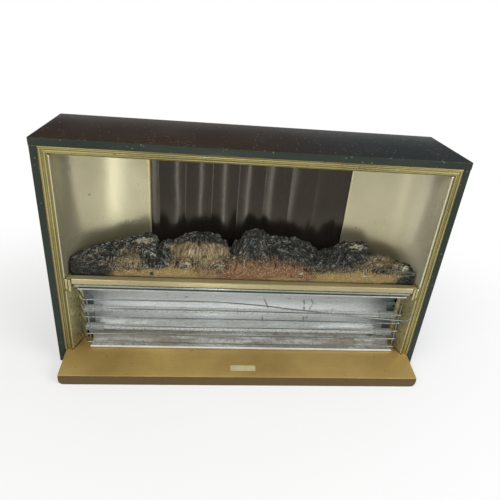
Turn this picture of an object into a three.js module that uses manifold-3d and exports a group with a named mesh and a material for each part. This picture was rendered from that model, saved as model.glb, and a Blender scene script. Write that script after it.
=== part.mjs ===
// Electric bar heater with a log fuel effect, in millimetres.
// X runs along the width, Y from the front plane into the depth, Z up from the floor.
// While drawing, Y = 0 is the front plane of the casing; at the end all is moved so that
// the origin is the middle of the whole object's footprint, on the floor.

import * as THREE from 'three';
import { mergeVertices } from 'three/addons/utils/BufferGeometryUtils.js';
import Module from 'manifold-3d';

const wasm = await Module();
wasm.setup();

// Overall sizes
const casingWidth = 700;
const casingDepth = 164;
const casingHeight = 436.5;
const trayReach = 60;
const seatGap = 0.3;

// Casing boards and the brass-finished surround
const boardThickness = 12;
const boardEdgeRadius = 1.6;
const sideBoardFoot = 2;
const trimWidth = 13;
const trimDepth = 8;
const trimProud = 1.2;
const battenSize = 15;

// Sheet metal
const sheet = 1.2;
const bendRadius = 2.5;
const hemRadius = 1.4;

// Heights that the inside is built on
const baseHeight = 6;
const trayTop = 30.4;
const traySlopeDrop = 9;
const shelfTop = 188;
const shelfFold = 10;
const lowerSideTop = 162.2;
const canopyBottom = casingHeight - boardThickness - trimWidth - seatGap;

// Plan positions, those along X measured in from the end of the casing
const hemX = casingWidth / 2 - boardThickness - trimWidth - 2.1;
const hemY = 1.6;
const panelCornerX = hemX - 10.9;
const panelCornerY = 38;
const screenHalfWidth = hemX - 130.9;
const screenY = 96.6;
const cheekEndX = screenHalfWidth - 9;
const cheekEndY = screenY - 4;
const shelfBack = screenY + 7.4;
const trayBack = 40;
const backPanelY = casingDepth - 6;

// Flame screen flutes
const flutePitch = 48;
const fluteRise = 1.8;
const fluteSteps = 6;
const screenThickness = 1.6;

// Radiant reflector and hood
const reflectorX = [-hemX + 30.9, hemX - 18.9];
const reflectorSheet = 1;
const reflectorTop = 167.4;
const reflectorFoot = 31.3;
const hoodHalfWidth = hemX - 14.4;

// Elements
const elementY = 30;
const elementHeights = [105, 62];
const tubeRadius = 5.5;
const tubeBore = 4;
const tubeHalfLength = hemX - 42.9;
const coilRadius = 3.7;
const capRadius = 7.7;
const capInner = tubeHalfLength - 10;
const capMiddle = tubeHalfLength + 14;
const capOuter = tubeHalfLength + 25;
const endPlateX = [hemX - 34.9, hemX - 9.9];
const endPlateZ = [46, 130];

// Guard
const wireRadius = 1.2;
const wireSides = 6;
const guardBends = [-hemX + 29.4, hemX - 19.9];
const guardBottom = 49;
const guardPitch = 19.5;
const guardWires = 5;
const endRodY = 2.1;
const endRodInset = 4.5;
const wireHole = [panelCornerX + 1.4, panelCornerY - 5];
const returnLength = 1.105;
const wireHoleClearance = 0.4;

// Fuel bed
const bedFront = 13;
const bedHalfWidth = hemX - 8.9;
const bedColumns = 62;
const bedRows = 10;
const bedSkin = 4;
const lumpSink = 16;

// Light chamber
const lampX = 120;
const lampY = 116;
const lightOpening = { y: 62, radius: 26 };
const bulbRadius = 28;
const spinnerRadius = 38;
const spinnerBlades = 8;
const needleTop = 164;

// Switches in the right board
const switchY = 112;
const switchZ = casingHeight - 106.5;
const bezelSize = [32, 58];
const bezelThickness = 2.2;
const bezelRecess = 3;
const rockerHalfHeight = 10;
const rockerLength = 20;
const rockerSpacing = 26;
const rockerPivotX = casingWidth / 2 - 8.5;
const rockerTilt = THREE.MathUtils.degToRad(8);

const innerX = casingWidth / 2 - boardThickness - seatGap;
const underTop = casingHeight - boardThickness - seatGap;
const originY = (casingDepth - trayReach) / 2;

// Colours and surface values, one material per node
const finishes = {
  lacquer: [0x33322b, 0.3, 0],
  softwood: [0xb08d5b, 0.8, 0],
  brassTrim: [0x9a8f55, 0.35, 0.9],
  champagne: [0xbab38f, 0.38, 0.85],
  goldSheet: [0x8f7a3f, 0.4, 0.85],
  bronzeScreen: [0x3a342c, 0.3, 0.4],
  charcoal: [0x4a4640, 0.9, 0],
  mirror: [0xb9c0c4, 0.18, 1],
  chrome: [0xc9cccb, 0.15, 1],
  darkSteel: [0x4a4f4b, 0.5, 0.8],
  zincSheet: [0x8b8f8c, 0.5, 0.8],
  silica: [0xdfe3e2, 0.45, 0],
  coil: [0x5b4f48, 0.6, 0.7],
  ceramic: [0xd9d4c4, 0.5, 0],
  steelPin: [0xa7a9a6, 0.35, 1],
  bulbGlass: [0xc4482a, 0.15, 0],
  bakelite: [0x2b211c, 0.4, 0],
  aluminium: [0xc2c5c6, 0.3, 1],
  cream: [0xd6cda4, 0.5, 0],
  blackRubber: [0x1c1c1b, 0.9, 0],
  blackPlastic: [0x1f1f1f, 0.4, 0],
  redPlastic: [0x7e2018, 0.35, 0]
};

// ---- solids -------------------------------------------------------------------------

function solidOf(vertices, triangles) {
  const mesh = new wasm.Mesh({ numProp: 3, vertProperties: vertices, triVerts: triangles });
  return new wasm.Manifold(mesh);
}

// Turns a three.js geometry into a solid that can be cut and joined, facing outward.
function toSolid(geometry) {
  const bare = geometry.clone();
  bare.deleteAttribute('normal');
  bare.deleteAttribute('uv');
  const merged = mergeVertices(bare, 1e-4);
  const vertices = new Float32Array(merged.attributes.position.array);
  const triangles = new Uint32Array(merged.index.array);
  const made = solidOf(vertices, triangles);
  if (made.volume() >= 0) return made;
  for (let i = 0; i < triangles.length; i += 3) {
    [triangles[i + 1], triangles[i + 2]] = [triangles[i + 2], triangles[i + 1]];
  }
  return solidOf(vertices, triangles);
}

// Turns a finished solid back into a three.js geometry.
function toGeometry(solid) {
  const mesh = solid.getMesh();
  const positions = new Float32Array((mesh.vertProperties.length / mesh.numProp) * 3);
  for (let i = 0; i < positions.length / 3; i += 1) {
    for (let k = 0; k < 3; k += 1) positions[3 * i + k] = mesh.vertProperties[mesh.numProp * i + k];
  }
  const geometry = new THREE.BufferGeometry();
  geometry.setAttribute('position', new THREE.BufferAttribute(positions, 3));
  geometry.setIndex(Array.from(mesh.triVerts));
  return geometry;
}

function join(first, ...others) {
  return others.reduce((sum, next) => sum.add(next), first);
}

function cut(first, ...others) {
  return others.reduce((sum, next) => sum.subtract(next), first);
}

// The same solid on the other side of the middle plane.
function mirrored(solid) {
  return solid.mirror([1, 0, 0]);
}

// ---- outlines -----------------------------------------------------------------------

function polygon(points) {
  return new THREE.Shape(points.map(([a, b]) => new THREE.Vector2(a, b)));
}

// Rectangle with one corner radius per corner: low-low, high-low, high-high, low-high.
function roundedRectangle(x0, y0, x1, y1, radii) {
  const [a, b, c, d] = Array.isArray(radii) ? radii : [radii, radii, radii, radii];
  const shape = new THREE.Shape();
  const corner = (x, y, radius, start) => {
    if (radius > 0) shape.absarc(x, y, radius, start, start + Math.PI / 2, false);
    else shape.lineTo(x, y);
  };
  shape.moveTo(x0 + a, y0);
  corner(x1 - b, y0 + b, b, -Math.PI / 2);
  corner(x1 - c, y1 - c, c, 0);
  corner(x0 + d, y1 - d, d, Math.PI / 2);
  corner(x0 + a, y0 + a, a, Math.PI);
  return shape;
}

// A run of straight lines whose inner corners are bent to a radius.
function bentPath(points, radius) {
  const path = [points[0]];
  for (let i = 1; i < points.length - 1; i += 1) {
    const here = new THREE.Vector2(...points[i]);
    const before = new THREE.Vector2(...points[i - 1]).sub(here).setLength(radius).add(here);
    const after = new THREE.Vector2(...points[i + 1]).sub(here).setLength(radius).add(here);
    const bend = new THREE.QuadraticBezierCurve(before, here, after);
    bend.getPoints(3).forEach((p) => path.push([p.x, p.y]));
  }
  path.push(points[points.length - 1]);
  return path;
}

// The outline of a sheet of one thickness whose middle follows a path.
function sheetOutline(path, thickness) {
  const points = path.map(([a, b]) => new THREE.Vector2(a, b));
  const left = [];
  const right = [];
  points.forEach((here, i) => {
    const into = i > 0 ? here.clone().sub(points[i - 1]).normalize() : null;
    const outOf = i < points.length - 1 ? points[i + 1].clone().sub(here).normalize() : null;
    const along = (into || outOf).clone().add(outOf || into).normalize();
    const reach = thickness / 2 / along.dot(into || outOf);
    const side = new THREE.Vector2(-along.y, along.x).multiplyScalar(reach);
    left.push(here.clone().add(side));
    right.push(here.clone().sub(side));
  });
  return new THREE.Shape([...right, ...left.reverse()]);
}

function circle(x, y, radius) {
  const shape = new THREE.Shape();
  shape.absarc(x, y, radius, 0, 2 * Math.PI, false);
  return shape;
}

// ---- swept and turned bodies --------------------------------------------------------

function extruded(shape, length, curveSegments) {
  return new THREE.ExtrudeGeometry(shape, {
    depth: length, bevelEnabled: false, steps: 1, curveSegments
  });
}

// Outline in X and Y, raised from z0 to z1.
function prismZ(shape, z0, z1, curveSegments = 4) {
  return toSolid(extruded(shape, z1 - z0, curveSegments).translate(0, 0, z0));
}

// Outline in Y and Z, run from x0 to x1.
function prismX(shape, x0, x1, curveSegments = 4) {
  const turn = new THREE.Matrix4().set(0, 0, 1, x0, 1, 0, 0, 0, 0, 1, 0, 0, 0, 0, 0, 1);
  return toSolid(extruded(shape, x1 - x0, curveSegments).applyMatrix4(turn));
}

// Outline in X and Z, run from y0 to y1.
function prismY(shape, y0, y1, curveSegments = 4) {
  const turn = new THREE.Matrix4().set(1, 0, 0, 0, 0, 0, -1, y1, 0, 1, 0, 0, 0, 0, 0, 1);
  return toSolid(extruded(shape, y1 - y0, curveSegments).applyMatrix4(turn));
}

function block(x0, x1, y0, y1, z0, z1) {
  return prismZ(polygon([[x0, y0], [x1, y0], [x1, y1], [x0, y1]]), z0, z1);
}

// A body of revolution: profile pairs are radius and position along the axis.
function turned(profile, segments, at, axis = 'z') {
  const points = profile.map(([radius, along]) => new THREE.Vector2(radius, along));
  const geometry = new THREE.LatheGeometry(points, segments);
  if (axis === 'z') geometry.rotateX(Math.PI / 2);
  if (axis === 'x') geometry.rotateZ(-Math.PI / 2);
  geometry.translate(...at);
  return toSolid(geometry);
}

function rod(from, to, radius, sides = 12) {
  const start = new THREE.Vector3(...from);
  const end = new THREE.Vector3(...to);
  const geometry = new THREE.CylinderGeometry(radius, radius, start.distanceTo(end), sides);
  const turn = new THREE.Quaternion();
  turn.setFromUnitVectors(new THREE.Vector3(0, 1, 0), end.clone().sub(start).normalize());
  geometry.applyQuaternion(turn);
  geometry.translate(...start.add(end).multiplyScalar(0.5).toArray());
  return toSolid(geometry);
}

// A closed round wire along a list of points, with a ring at each point.
function wire(points, radius, sides = wireSides) {
  const path = points.map((p) => new THREE.Vector3(...p));
  const positions = [];
  const indices = [];
  let side = new THREE.Vector3(0, 0, 1);
  path.forEach((here, i) => {
    const into = i > 0 ? here.clone().sub(path[i - 1]).normalize() : null;
    const outOf = i < path.length - 1 ? path[i + 1].clone().sub(here).normalize() : null;
    const along = (into || outOf).clone().add(outOf || into).normalize();
    side = side.clone().addScaledVector(along, -side.dot(along)).normalize();
    const other = new THREE.Vector3().crossVectors(along, side);
    for (let k = 0; k < sides; k += 1) {
      const angle = (2 * Math.PI * k) / sides;
      const rim = here.clone().addScaledVector(side, radius * Math.cos(angle));
      rim.addScaledVector(other, radius * Math.sin(angle));
      positions.push(rim.x, rim.y, rim.z);
    }
  });
  for (let i = 0; i < path.length - 1; i += 1) {
    for (let k = 0; k < sides; k += 1) {
      const a = i * sides + k;
      const b = i * sides + ((k + 1) % sides);
      indices.push(a, b, b + sides, a, b + sides, a + sides);
    }
  }
  const last = (path.length - 1) * sides;
  for (let k = 1; k < sides - 1; k += 1) {
    indices.push(0, k + 1, k, last, last + k, last + k + 1);
  }
  const geometry = new THREE.BufferGeometry();
  geometry.setAttribute('position', new THREE.Float32BufferAttribute(positions, 3));
  geometry.setIndex(indices);
  return toSolid(geometry);
}

// ---- casing -------------------------------------------------------------------------

function casingTopBoard() {
  const r = boardEdgeRadius;
  const outline = roundedRectangle(0, casingHeight - boardThickness, casingDepth, casingHeight, [0, 0, r, r]);
  return prismX(outline, -casingWidth / 2, casingWidth / 2);
}

function casingSideBoard() {
  const outer = casingWidth / 2;
  const r = boardEdgeRadius;
  const outline = roundedRectangle(outer - boardThickness, 0, outer, casingDepth, [0, r, r, 0]);
  return prismZ(outline, sideBoardFoot, underTop);
}

function switchRecess() {
  const [w, h] = bezelSize;
  const outer = casingWidth / 2;
  const g = seatGap;
  const pocket = roundedRectangle(
    switchY - w / 2 - g, switchZ - h / 2 - g, switchY + w / 2 + g, switchZ + h / 2 + g, 2.5
  );
  const way = roundedRectangle(
    switchY - w / 2 + 4 - g, switchZ - h / 2 + 3 - g,
    switchY + w / 2 - 4 + g, switchZ + h / 2 - 3 + g, 1
  );
  return join(
    prismX(pocket, outer - bezelRecess, outer + 1),
    prismX(way, outer - boardThickness - 1, outer)
  );
}

// One batten in front of the back panel's edge, glued to the side board.
function backBatten() {
  const y1 = backPanelY - seatGap;
  const outline = roundedRectangle(innerX - battenSize, y1 - battenSize, innerX, y1, [1, 0, 0, 0]);
  return prismZ(outline, baseHeight + 18, underTop);
}

const ventPitch = (78 * casingWidth) / 700;

// The pressed steel back with its rows of vent slots.
function backPanel() {
  const outline = roundedRectangle(-innerX, baseHeight + 2, innerX, underTop, 4);
  for (const z of [underTop - 32.2, baseHeight + 90]) {
    for (let k = -3; k <= 3; k += 1) outline.holes.push(slotPath(k * ventPitch, z, ventPitch - 20, 9));
  }
  outline.holes.push(new THREE.Path(circle(glandX, glandZ, glandNeck + seatGap).getPoints(10)));
  return prismY(outline, backPanelY, backPanelY + sheet, 3);
}

// A slot with round ends, as a hole in an outline.
function slotPath(x, z, length, height) {
  const r = height / 2;
  const path = new THREE.Path();
  path.moveTo(x - length / 2 + r, z - r);
  path.absarc(x + length / 2 - r, z, r, -Math.PI / 2, Math.PI / 2, false);
  path.absarc(x - length / 2 + r, z, r, Math.PI / 2, 1.5 * Math.PI, false);
  return path;
}

// The chassis base with its two side flanges turned up against the boards.
function chassisBase() {
  const x = innerX - sheet / 2;
  const z = baseHeight + sheet / 2;
  const path = bentPath([[-x, 22], [-x, z], [x, z], [x, 22]], bendRadius);
  const pan = prismY(sheetOutline(path, sheet), 4, backPanelY - seatGap);
  const footHoles = footPlaces().map(([fx, fy]) => rod(
    [fx, fy, 0], [fx, fy, baseHeight + 5], footNeck + seatGap, 12
  ));
  const vents = [-200, 0, 200].map((vx) => prismZ(
    new THREE.Shape(slotPath(vx, 122, 70, 8).getPoints(4)), 0, baseHeight + 5
  ));
  return cut(pan, ...footHoles, ...vents);
}

// Push-in rubber foot: pad below the base, neck through it, head above it.
const footNeck = 3.8;

function footPlaces() {
  const x = casingWidth / 2 - 50;
  const [front, back] = [26, casingDepth - 20];
  return [[-x, front], [x, front], [-x, back], [x, back]];
}

function foot([x, y]) {
  const under = baseHeight - seatGap;
  const over = baseHeight + sheet + seatGap;
  const profile = [
    [0, 0], [9.2, 0], [10.6, 1.2], [11.6, under], [footNeck, under], [footNeck, over],
    [6, over], [4.6, over + 1.8], [0, over + 2.2]
  ];
  return turned(profile, 12, [x, y, 0]);
}

// ---- brass-finished surround --------------------------------------------------------

// Section of the surround: distance in from its outer edge, then depth. Two beads and a step.
function trimSection() {
  const outline = new THREE.Path();
  outline.moveTo(0, trimDepth);
  outline.lineTo(0, 0.4);
  outline.quadraticCurveTo(0.4, -trimProud, 2.6, -trimProud);
  outline.quadraticCurveTo(4.8, -trimProud, 5.4, 0.6);
  outline.lineTo(6.6, 0.6);
  outline.quadraticCurveTo(7.2, -0.8, 9, -0.8);
  outline.quadraticCurveTo(10.8, -0.8, 11.2, 1);
  outline.lineTo(trimWidth, 2.2);
  outline.lineTo(trimWidth, trimDepth);
  return outline.getPoints(4).map((p) => [p.x, p.y]);
}

// A bar with the surround's section between two ends, which may be cut at an angle.
function mitredBar(place, startAt, endAt) {
  const section = trimSection();
  const ends = [startAt, endAt].map((at) => section.map(([w, d]) => place(w, d, at(w))));
  const count = section.length;
  const positions = ends.flat(2);
  const indices = [];
  for (let i = 0; i < count; i += 1) {
    const n = (i + 1) % count;
    indices.push(i, n, n + count, i, n + count, i + count);
  }
  const faces = THREE.ShapeUtils.triangulateShape(section.map(([a, b]) => new THREE.Vector2(a, b)), []);
  faces.forEach(([a, b, c]) => indices.push(a, c, b, a + count, b + count, c + count));
  const geometry = new THREE.BufferGeometry();
  geometry.setAttribute('position', new THREE.Float32BufferAttribute(positions, 3));
  geometry.setIndex(indices);
  return toSolid(geometry);
}

function trimSide() {
  const bottom = trayTop + seatGap;
  const top = underTop;
  return mitredBar(
    (w, d, z) => [innerX - w, d, z],
    () => bottom,
    (w) => top - w - seatGap / 2
  );
}

function trimTop() {
  return mitredBar(
    (w, d, x) => [x, d, underTop - w],
    (w) => -(innerX - w - seatGap / 2),
    (w) => innerX - w - seatGap / 2
  );
}

// ---- hearth tray --------------------------------------------------------------------

const trayHalfWidth = casingWidth / 2 - 15;
const trayFoot = 1;
const trayLip = trayTop - traySlopeDrop;

function hearthTray() {
  const clear = baseHeight + sheet + seatGap;
  const sideView = [
    [-trayReach, trayFoot], [3.4, trayFoot], [3.4, clear], [trayBack, clear],
    [trayBack, trayTop], [0, trayTop], [-trayReach + 3, trayLip + 0.45],
    [-trayReach + 0.9, trayLip - 0.7], [-trayReach, trayLip - 3]
  ];
  const inside = [
    [-trayReach + sheet, -5], [trayBack - sheet, -5], [trayBack - sheet, trayTop - sheet],
    [0, trayTop - sheet], [-trayReach + 3.2, trayLip + 0.45 - sheet],
    [-trayReach + sheet, trayLip - 3]
  ];
  const frontView = roundedRectangle(
    -trayHalfWidth, trayFoot, trayHalfWidth, trayTop + 1, [9, 9, 0, 0]
  );
  const outer = prismX(polygon(sideView), -trayHalfWidth, trayHalfWidth)
    .intersect(prismY(frontView, -trayReach - 1, trayBack + 1, 5));
  const hollow = prismX(polygon(inside), -trayHalfWidth + sheet, trayHalfWidth - sheet);
  return cut(outer, hollow);
}

// The bare plate stuck on the tray's slope.
function trayPlate() {
  const slope = Math.atan2(traySlopeDrop, trayReach);
  const outline = roundedRectangle(-24, -6.2, 24, 6.2, 1);
  const middle = -40;
  const height = trayTop + (middle * traySlopeDrop) / trayReach + 0.2;
  const plate = extruded(outline, 0.6, 3);
  plate.rotateX(slope);
  plate.translate(-1.5, middle, height + seatGap / 2);
  return toSolid(plate);
}

// ---- sides of the fire opening ------------------------------------------------------

function hem(z0, z1) {
  return prismZ(circle(hemX, hemY, hemRadius), z0, z1, 5);
}

// Plan curve of the polished cheek, from its front hem round to the flame screen.
function cheekCurve() {
  return new THREE.CubicBezierCurve(
    new THREE.Vector2(hemX, hemY),
    new THREE.Vector2(hemX - 2, 0.54 * cheekEndY),
    new THREE.Vector2(hemX - 46.9, cheekEndY - 5.6),
    new THREE.Vector2(cheekEndX, cheekEndY)
  );
}

function cheek() {
  const path = cheekCurve().getPoints(14).map((p) => [p.x, p.y]);
  const z0 = shelfTop + seatGap;
  const z1 = canopyBottom - seatGap;
  return join(prismZ(sheetOutline(path, sheet), z0, z1), hem(z0, z1));
}

// The dark fluted screen behind the logs.
function flameScreen() {
  const path = [];
  const steps = Math.round((2 * screenHalfWidth * fluteSteps) / flutePitch);
  for (let i = 0; i <= steps; i += 1) {
    const x = -screenHalfWidth + (2 * screenHalfWidth * i) / steps;
    path.push([x, screenY - fluteRise * Math.cos((2 * Math.PI * x) / flutePitch)]);
  }
  return prismZ(sheetOutline(path, screenThickness), shelfTop + seatGap, canopyBottom - seatGap);
}

// The plate that closes the fire opening over the cheeks and the screen.
function canopyPlate() {
  const path = bentPath([
    [trimDepth + 0.6, canopyBottom + 9], [trimDepth + 0.6, canopyBottom + sheet / 2],
    [shelfBack, canopyBottom + sheet / 2]
  ], bendRadius);
  return prismX(sheetOutline(path, sheet), -innerX + 0.4, innerX - 0.4);
}

// ---- shelf, brackets, hood ----------------------------------------------------------

const shelfHalfWidth = hemX + 1.4;
const foldHalfWidth = hemX - 11.9;

function fuelBedShelf() {
  const z = shelfTop - sheet / 2;
  const path = bentPath([[sheet / 2, shelfTop - shelfFold], [sheet / 2, z], [shelfBack, z]], 2);
  const body = prismX(sheetOutline(path, sheet), -shelfHalfWidth, shelfHalfWidth);
  const ends = [-1, 1].map((side) => {
    const far = side * (shelfHalfWidth + 5);
    const near = side * foldHalfWidth;
    return block(Math.min(far, near), Math.max(far, near), -2, 3.4, shelfTop - 20, shelfTop + 2);
  });
  const openings = [-lampX, lampX].map((x) => rod(
    [x, lightOpening.y, shelfTop - 8], [x, lightOpening.y, shelfTop + 8], lightOpening.radius, 20
  ));
  return cut(body, ...ends, ...openings);
}

// Bracket at each end of the shelf: upright with a tab turned in at the front.
function shelfBracket() {
  const outer = shelfHalfWidth - 6.7;
  const tab = [[outer - 4.6, 0.7], [outer, 0.7], [outer, shelfBack - 4]];
  const bottom = lowerSideTop + seatGap;
  const top = shelfTop - sheet - seatGap;
  return prismZ(sheetOutline(bentPath(tab, 2), sheet), bottom, top);
}

function hoodStrip() {
  const top = shelfTop - sheet - seatGap - sheet / 2;
  const lip = reflectorTop + 7;
  const path = bentPath([[36, top], [23, top], [23, lip], [3.6, lip], [3.6, lip - 3.6]], 1.6);
  return prismX(sheetOutline(path, sheet), -hoodHalfWidth, hoodHalfWidth);
}

// Side panel beside the bars: hemmed front, then splayed back to a corner and turned in.
// Side is 1 for the right panel and -1 for the left one.
function lowerSidePanel(side) {
  const z0 = trayTop + seatGap;
  const outline = sheetOutline(bentPath([
    [hemX, hemY], [panelCornerX, panelCornerY - sheet / 2],
    [panelCornerX - 7, panelCornerY - sheet / 2]
  ], 2), sheet);
  const flange = [
    [hemX - 3.5, trimDepth + seatGap], [innerX - 4.7, trimDepth + seatGap],
    [innerX - 4.7, shelfBack], [panelCornerX + 2.5, shelfBack],
    [panelCornerX + 0.8, panelCornerY - 2]
  ];
  const upright = join(prismZ(outline, z0, lowerSideTop), hem(z0, lowerSideTop));
  const ledge = prismZ(polygon(flange), lowerSideTop - sheet, lowerSideTop);
  const panel = join(upright, ledge);
  const holes = [...wireHeights(), topWireHeight].map((z) => rod(
    returnPoint(0.7, z, side), returnPoint(1.3, z, side), wireRadius + wireHoleClearance, 8
  ));
  return cut(side < 0 ? mirrored(panel) : panel, ...holes);
}

// ---- radiant reflector --------------------------------------------------------------

function reflector() {
  const top = reflectorTop;
  const foot = reflectorFoot;
  const bowl = new THREE.CubicBezierCurve(
    new THREE.Vector2(16, top - 4.9), new THREE.Vector2(84, top - 21.4),
    new THREE.Vector2(88, foot + 24.7), new THREE.Vector2(22, foot + 2.9)
  );
  const path = [
    [3, top], [3.4, top - 2.6], [6, top - 3.2],
    ...bowl.getPoints(18).map((p) => [p.x, p.y]),
    [12, foot], [6, foot], [5, foot + 1.1], [5, foot + 5.5]
  ];
  return prismX(sheetOutline(path, reflectorSheet), ...reflectorX);
}

// ---- elements -----------------------------------------------------------------------

// Stamped plate that carries the end caps, with its ventilation slots.
function endPlate() {
  const y0 = panelCornerY + seatGap;
  const [x0, x1] = endPlateX;
  const outline = roundedRectangle(x0, endPlateZ[0], x1, endPlateZ[1], 3);
  const middle = (x0 + x1) / 2 - 2.5;
  for (const z of [77, 88, 120]) outline.holes.push(slotPath(middle, z, 14, 5));
  return prismY(outline, y0, y0 + sheet, 3);
}

function elementTube(z) {
  const profile = [
    [tubeBore, -tubeHalfLength], [tubeRadius, -tubeHalfLength],
    [tubeRadius, tubeHalfLength], [tubeBore, tubeHalfLength], [tubeBore, -tubeHalfLength]
  ];
  return turned(profile, 14, [0, elementY, z], 'x');
}

// The wound coil, drawn as the rod it fills; a few turns' ends are stepped.
function elementCoil(z) {
  const half = tubeHalfLength - 3;
  const profile = [
    [0, -half], [2.4, -half], [2.4, -half + 8], [coilRadius, -half + 8],
    [coilRadius, half - 8], [2.4, half - 8], [2.4, half], [0, half]
  ];
  return turned(profile, 12, [0, elementY, z], 'x');
}

// Ceramic cap: blind bore for the tube, a groove outside, a flat in front.
function endCap(z) {
  const bore = tubeRadius + seatGap;
  const profile = [
    [0, capOuter], [5.8, capOuter], [capRadius, capOuter - 2],
    [capRadius, capMiddle - 7], [6.6, capMiddle - 8], [6.6, capMiddle - 10],
    [capRadius, capMiddle - 11], [capRadius, capInner + 1], [capRadius - 0.8, capInner],
    [bore, capInner], [bore, tubeHalfLength + seatGap + 1], [0, tubeHalfLength + seatGap + 1]
  ];
  const body = turned(profile, 12, [0, elementY, z], 'x');
  const flat = block(
    capMiddle - 6, capMiddle + 6, elementY - capRadius - 1, elementY - capRadius + 1.2,
    z - 12, z + 12
  );
  return cut(body, flat);
}

// ---- guard --------------------------------------------------------------------------

const topWireHeight = guardBottom + guardPitch * guardWires;

function wireHeights() {
  return Array.from({ length: guardWires }, (_, k) => guardBottom + k * guardPitch);
}

function bendX(side) {
  return guardBends[side < 0 ? 0 : 1];
}

// Point on a wire's return, from its front bend (0) to the hole in the side panel (1).
function returnPoint(share, z, side) {
  return [THREE.MathUtils.lerp(bendX(side), side * wireHole[0], share), wireHole[1] * share, z];
}

// One end of a guard wire: its straight run, the bend, and the return through the panel.
function wireEnd(z, side, y = 0) {
  return [
    [bendX(side) - side * 4, y, z], [bendX(side) - side * 0.8, y + 0.7, z],
    returnPoint(0.1, z, side), returnPoint(returnLength, z, side)
  ];
}

function guardWire(z) {
  return wire([...wireEnd(z, -1).reverse(), ...wireEnd(z, 1)], wireRadius);
}

function guard() {
  const rods = [-1, 1].map((side) => rod(
    [bendX(side) - side * endRodInset, endRodY, guardBottom - 3],
    [bendX(side) - side * endRodInset, endRodY, topWireHeight + 3], wireRadius, 8
  ));
  return join(guardWire(guardBottom), ...wireHeights().slice(1).map(guardWire), ...rods);
}

// The top wire: still in its hole on the left, sprung out and fallen forward on the right.
function guardLooseWire() {
  const z = topWireHeight;
  const y = -0.6;
  const left = wireEnd(z, -1, y).slice(1).reverse();
  const along = (share) => THREE.MathUtils.lerp(bendX(-1), bendX(1), share);
  const sag = new THREE.CatmullRomCurve3([
    new THREE.Vector3(bendX(-1) + 5, y, z),
    new THREE.Vector3(along(0.19), y, z + 0.6),
    new THREE.Vector3(along(0.388), y - 0.2, z + 1),
    new THREE.Vector3(along(0.536), y - 2, z - 3),
    new THREE.Vector3(along(0.623), y - 3.6, z - 8),
    new THREE.Vector3(along(0.76), y - 6.4, z - 14.5),
    new THREE.Vector3(along(0.941), y - 10, z - 22.5),
    new THREE.Vector3(bendX(1), y - 11.2, z - 23.4),
    new THREE.Vector3(bendX(1) + 8, y - 12, z - 20),
    new THREE.Vector3(bendX(1) + 13, y - 13, z - 7)
  ]);
  const points = sag.getPoints(24).map((p) => [p.x, p.y, p.z]);
  return wire([...left, ...points], wireRadius);
}

// ---- log fuel bed -------------------------------------------------------------------

// All along the bed is drawn for a half width of 314 and stretched to the real one.
const drawnHalfWidth = 314;
const bedStretch = bedHalfWidth / drawnHalfWidth;

// Crest of the logs: distance from the middle, then height over the shelf. The body is
// drawn lower by lumpSink, and the lumps laid over it reach up to the crest.
const crest = [
  [-314, 34], [-291, 45], [-262, 51], [-238, 57], [-210, 59], [-183, 66], [-154, 51], [-132, 56],
  [-113, 73], [-88, 76], [-62, 78], [-40, 54], [-22, 66], [-5, 82], [26, 75], [50, 72], [84, 69],
  [112, 63], [135, 50], [152, 60], [170, 66], [221, 65], [240, 54], [262, 46], [290, 42], [314, 32]
];

// Logs and coals laid over the bed: middle x and y, half length, half width, turn in degrees, rise.
const lumps = [
  [-232, 44, 64, 15, 8, 12], [-176, 30, 42, 13, -24, 10], [-176, 62, 30, 11, 30, 12],
  [-96, 56, 44, 18, -6, 12], [-92, 27, 34, 12, 68, 10], [-60, 26, 26, 11, -70, 9],
  [-12, 54, 40, 19, 34, 15], [22, 36, 30, 13, -46, 9], [62, 58, 58, 18, 4, 11],
  [96, 34, 30, 12, 28, 8], [150, 38, 40, 14, -20, 11], [196, 54, 36, 16, 8, 13],
  [236, 34, 30, 12, 52, 8], [268, 30, 36, 11, 26, 9], [-276, 24, 34, 10, -6, 7]
];

// Repeatable scatter in the range 0 to 1 for a pair of whole numbers.
function scatter(i, j) {
  const s = Math.sin(i * 127.1 + j * 311.7) * 43758.5453;
  return s - Math.floor(s);
}

// Smooth noise with one random height per cell.
function smoothNoise(x, y) {
  const i = Math.floor(x);
  const j = Math.floor(y);
  const u = THREE.MathUtils.smoothstep(x - i, 0, 1);
  const v = THREE.MathUtils.smoothstep(y - j, 0, 1);
  const low = THREE.MathUtils.lerp(scatter(i, j), scatter(i + 1, j), u);
  const high = THREE.MathUtils.lerp(scatter(i, j + 1), scatter(i + 1, j + 1), u);
  return THREE.MathUtils.lerp(low, high, v);
}

function crestHeight(x) {
  const k = Math.max(1, crest.findIndex(([cx]) => cx >= x));
  const [x0, h0] = crest[k - 1];
  const [x1, h1] = crest[k];
  return THREE.MathUtils.lerp(h0, h1, THREE.MathUtils.smoothstep(x, x0, x1));
}

// Height of one lump's rounded back over its own base at a point, zero outside it.
function lumpHeight([cx, cy, halfLength, halfWidth, degrees, rise], x, y) {
  const turn = THREE.MathUtils.degToRad(degrees);
  const a = ((x - cx) * Math.cos(turn) + (y - cy) * Math.sin(turn)) / halfLength;
  const b = (-(x - cx) * Math.sin(turn) + (y - cy) * Math.cos(turn)) / halfWidth;
  const inside = 1 - a * a * a * a - b * b;
  return inside > 0 ? rise * Math.sqrt(inside) : 0;
}

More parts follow.
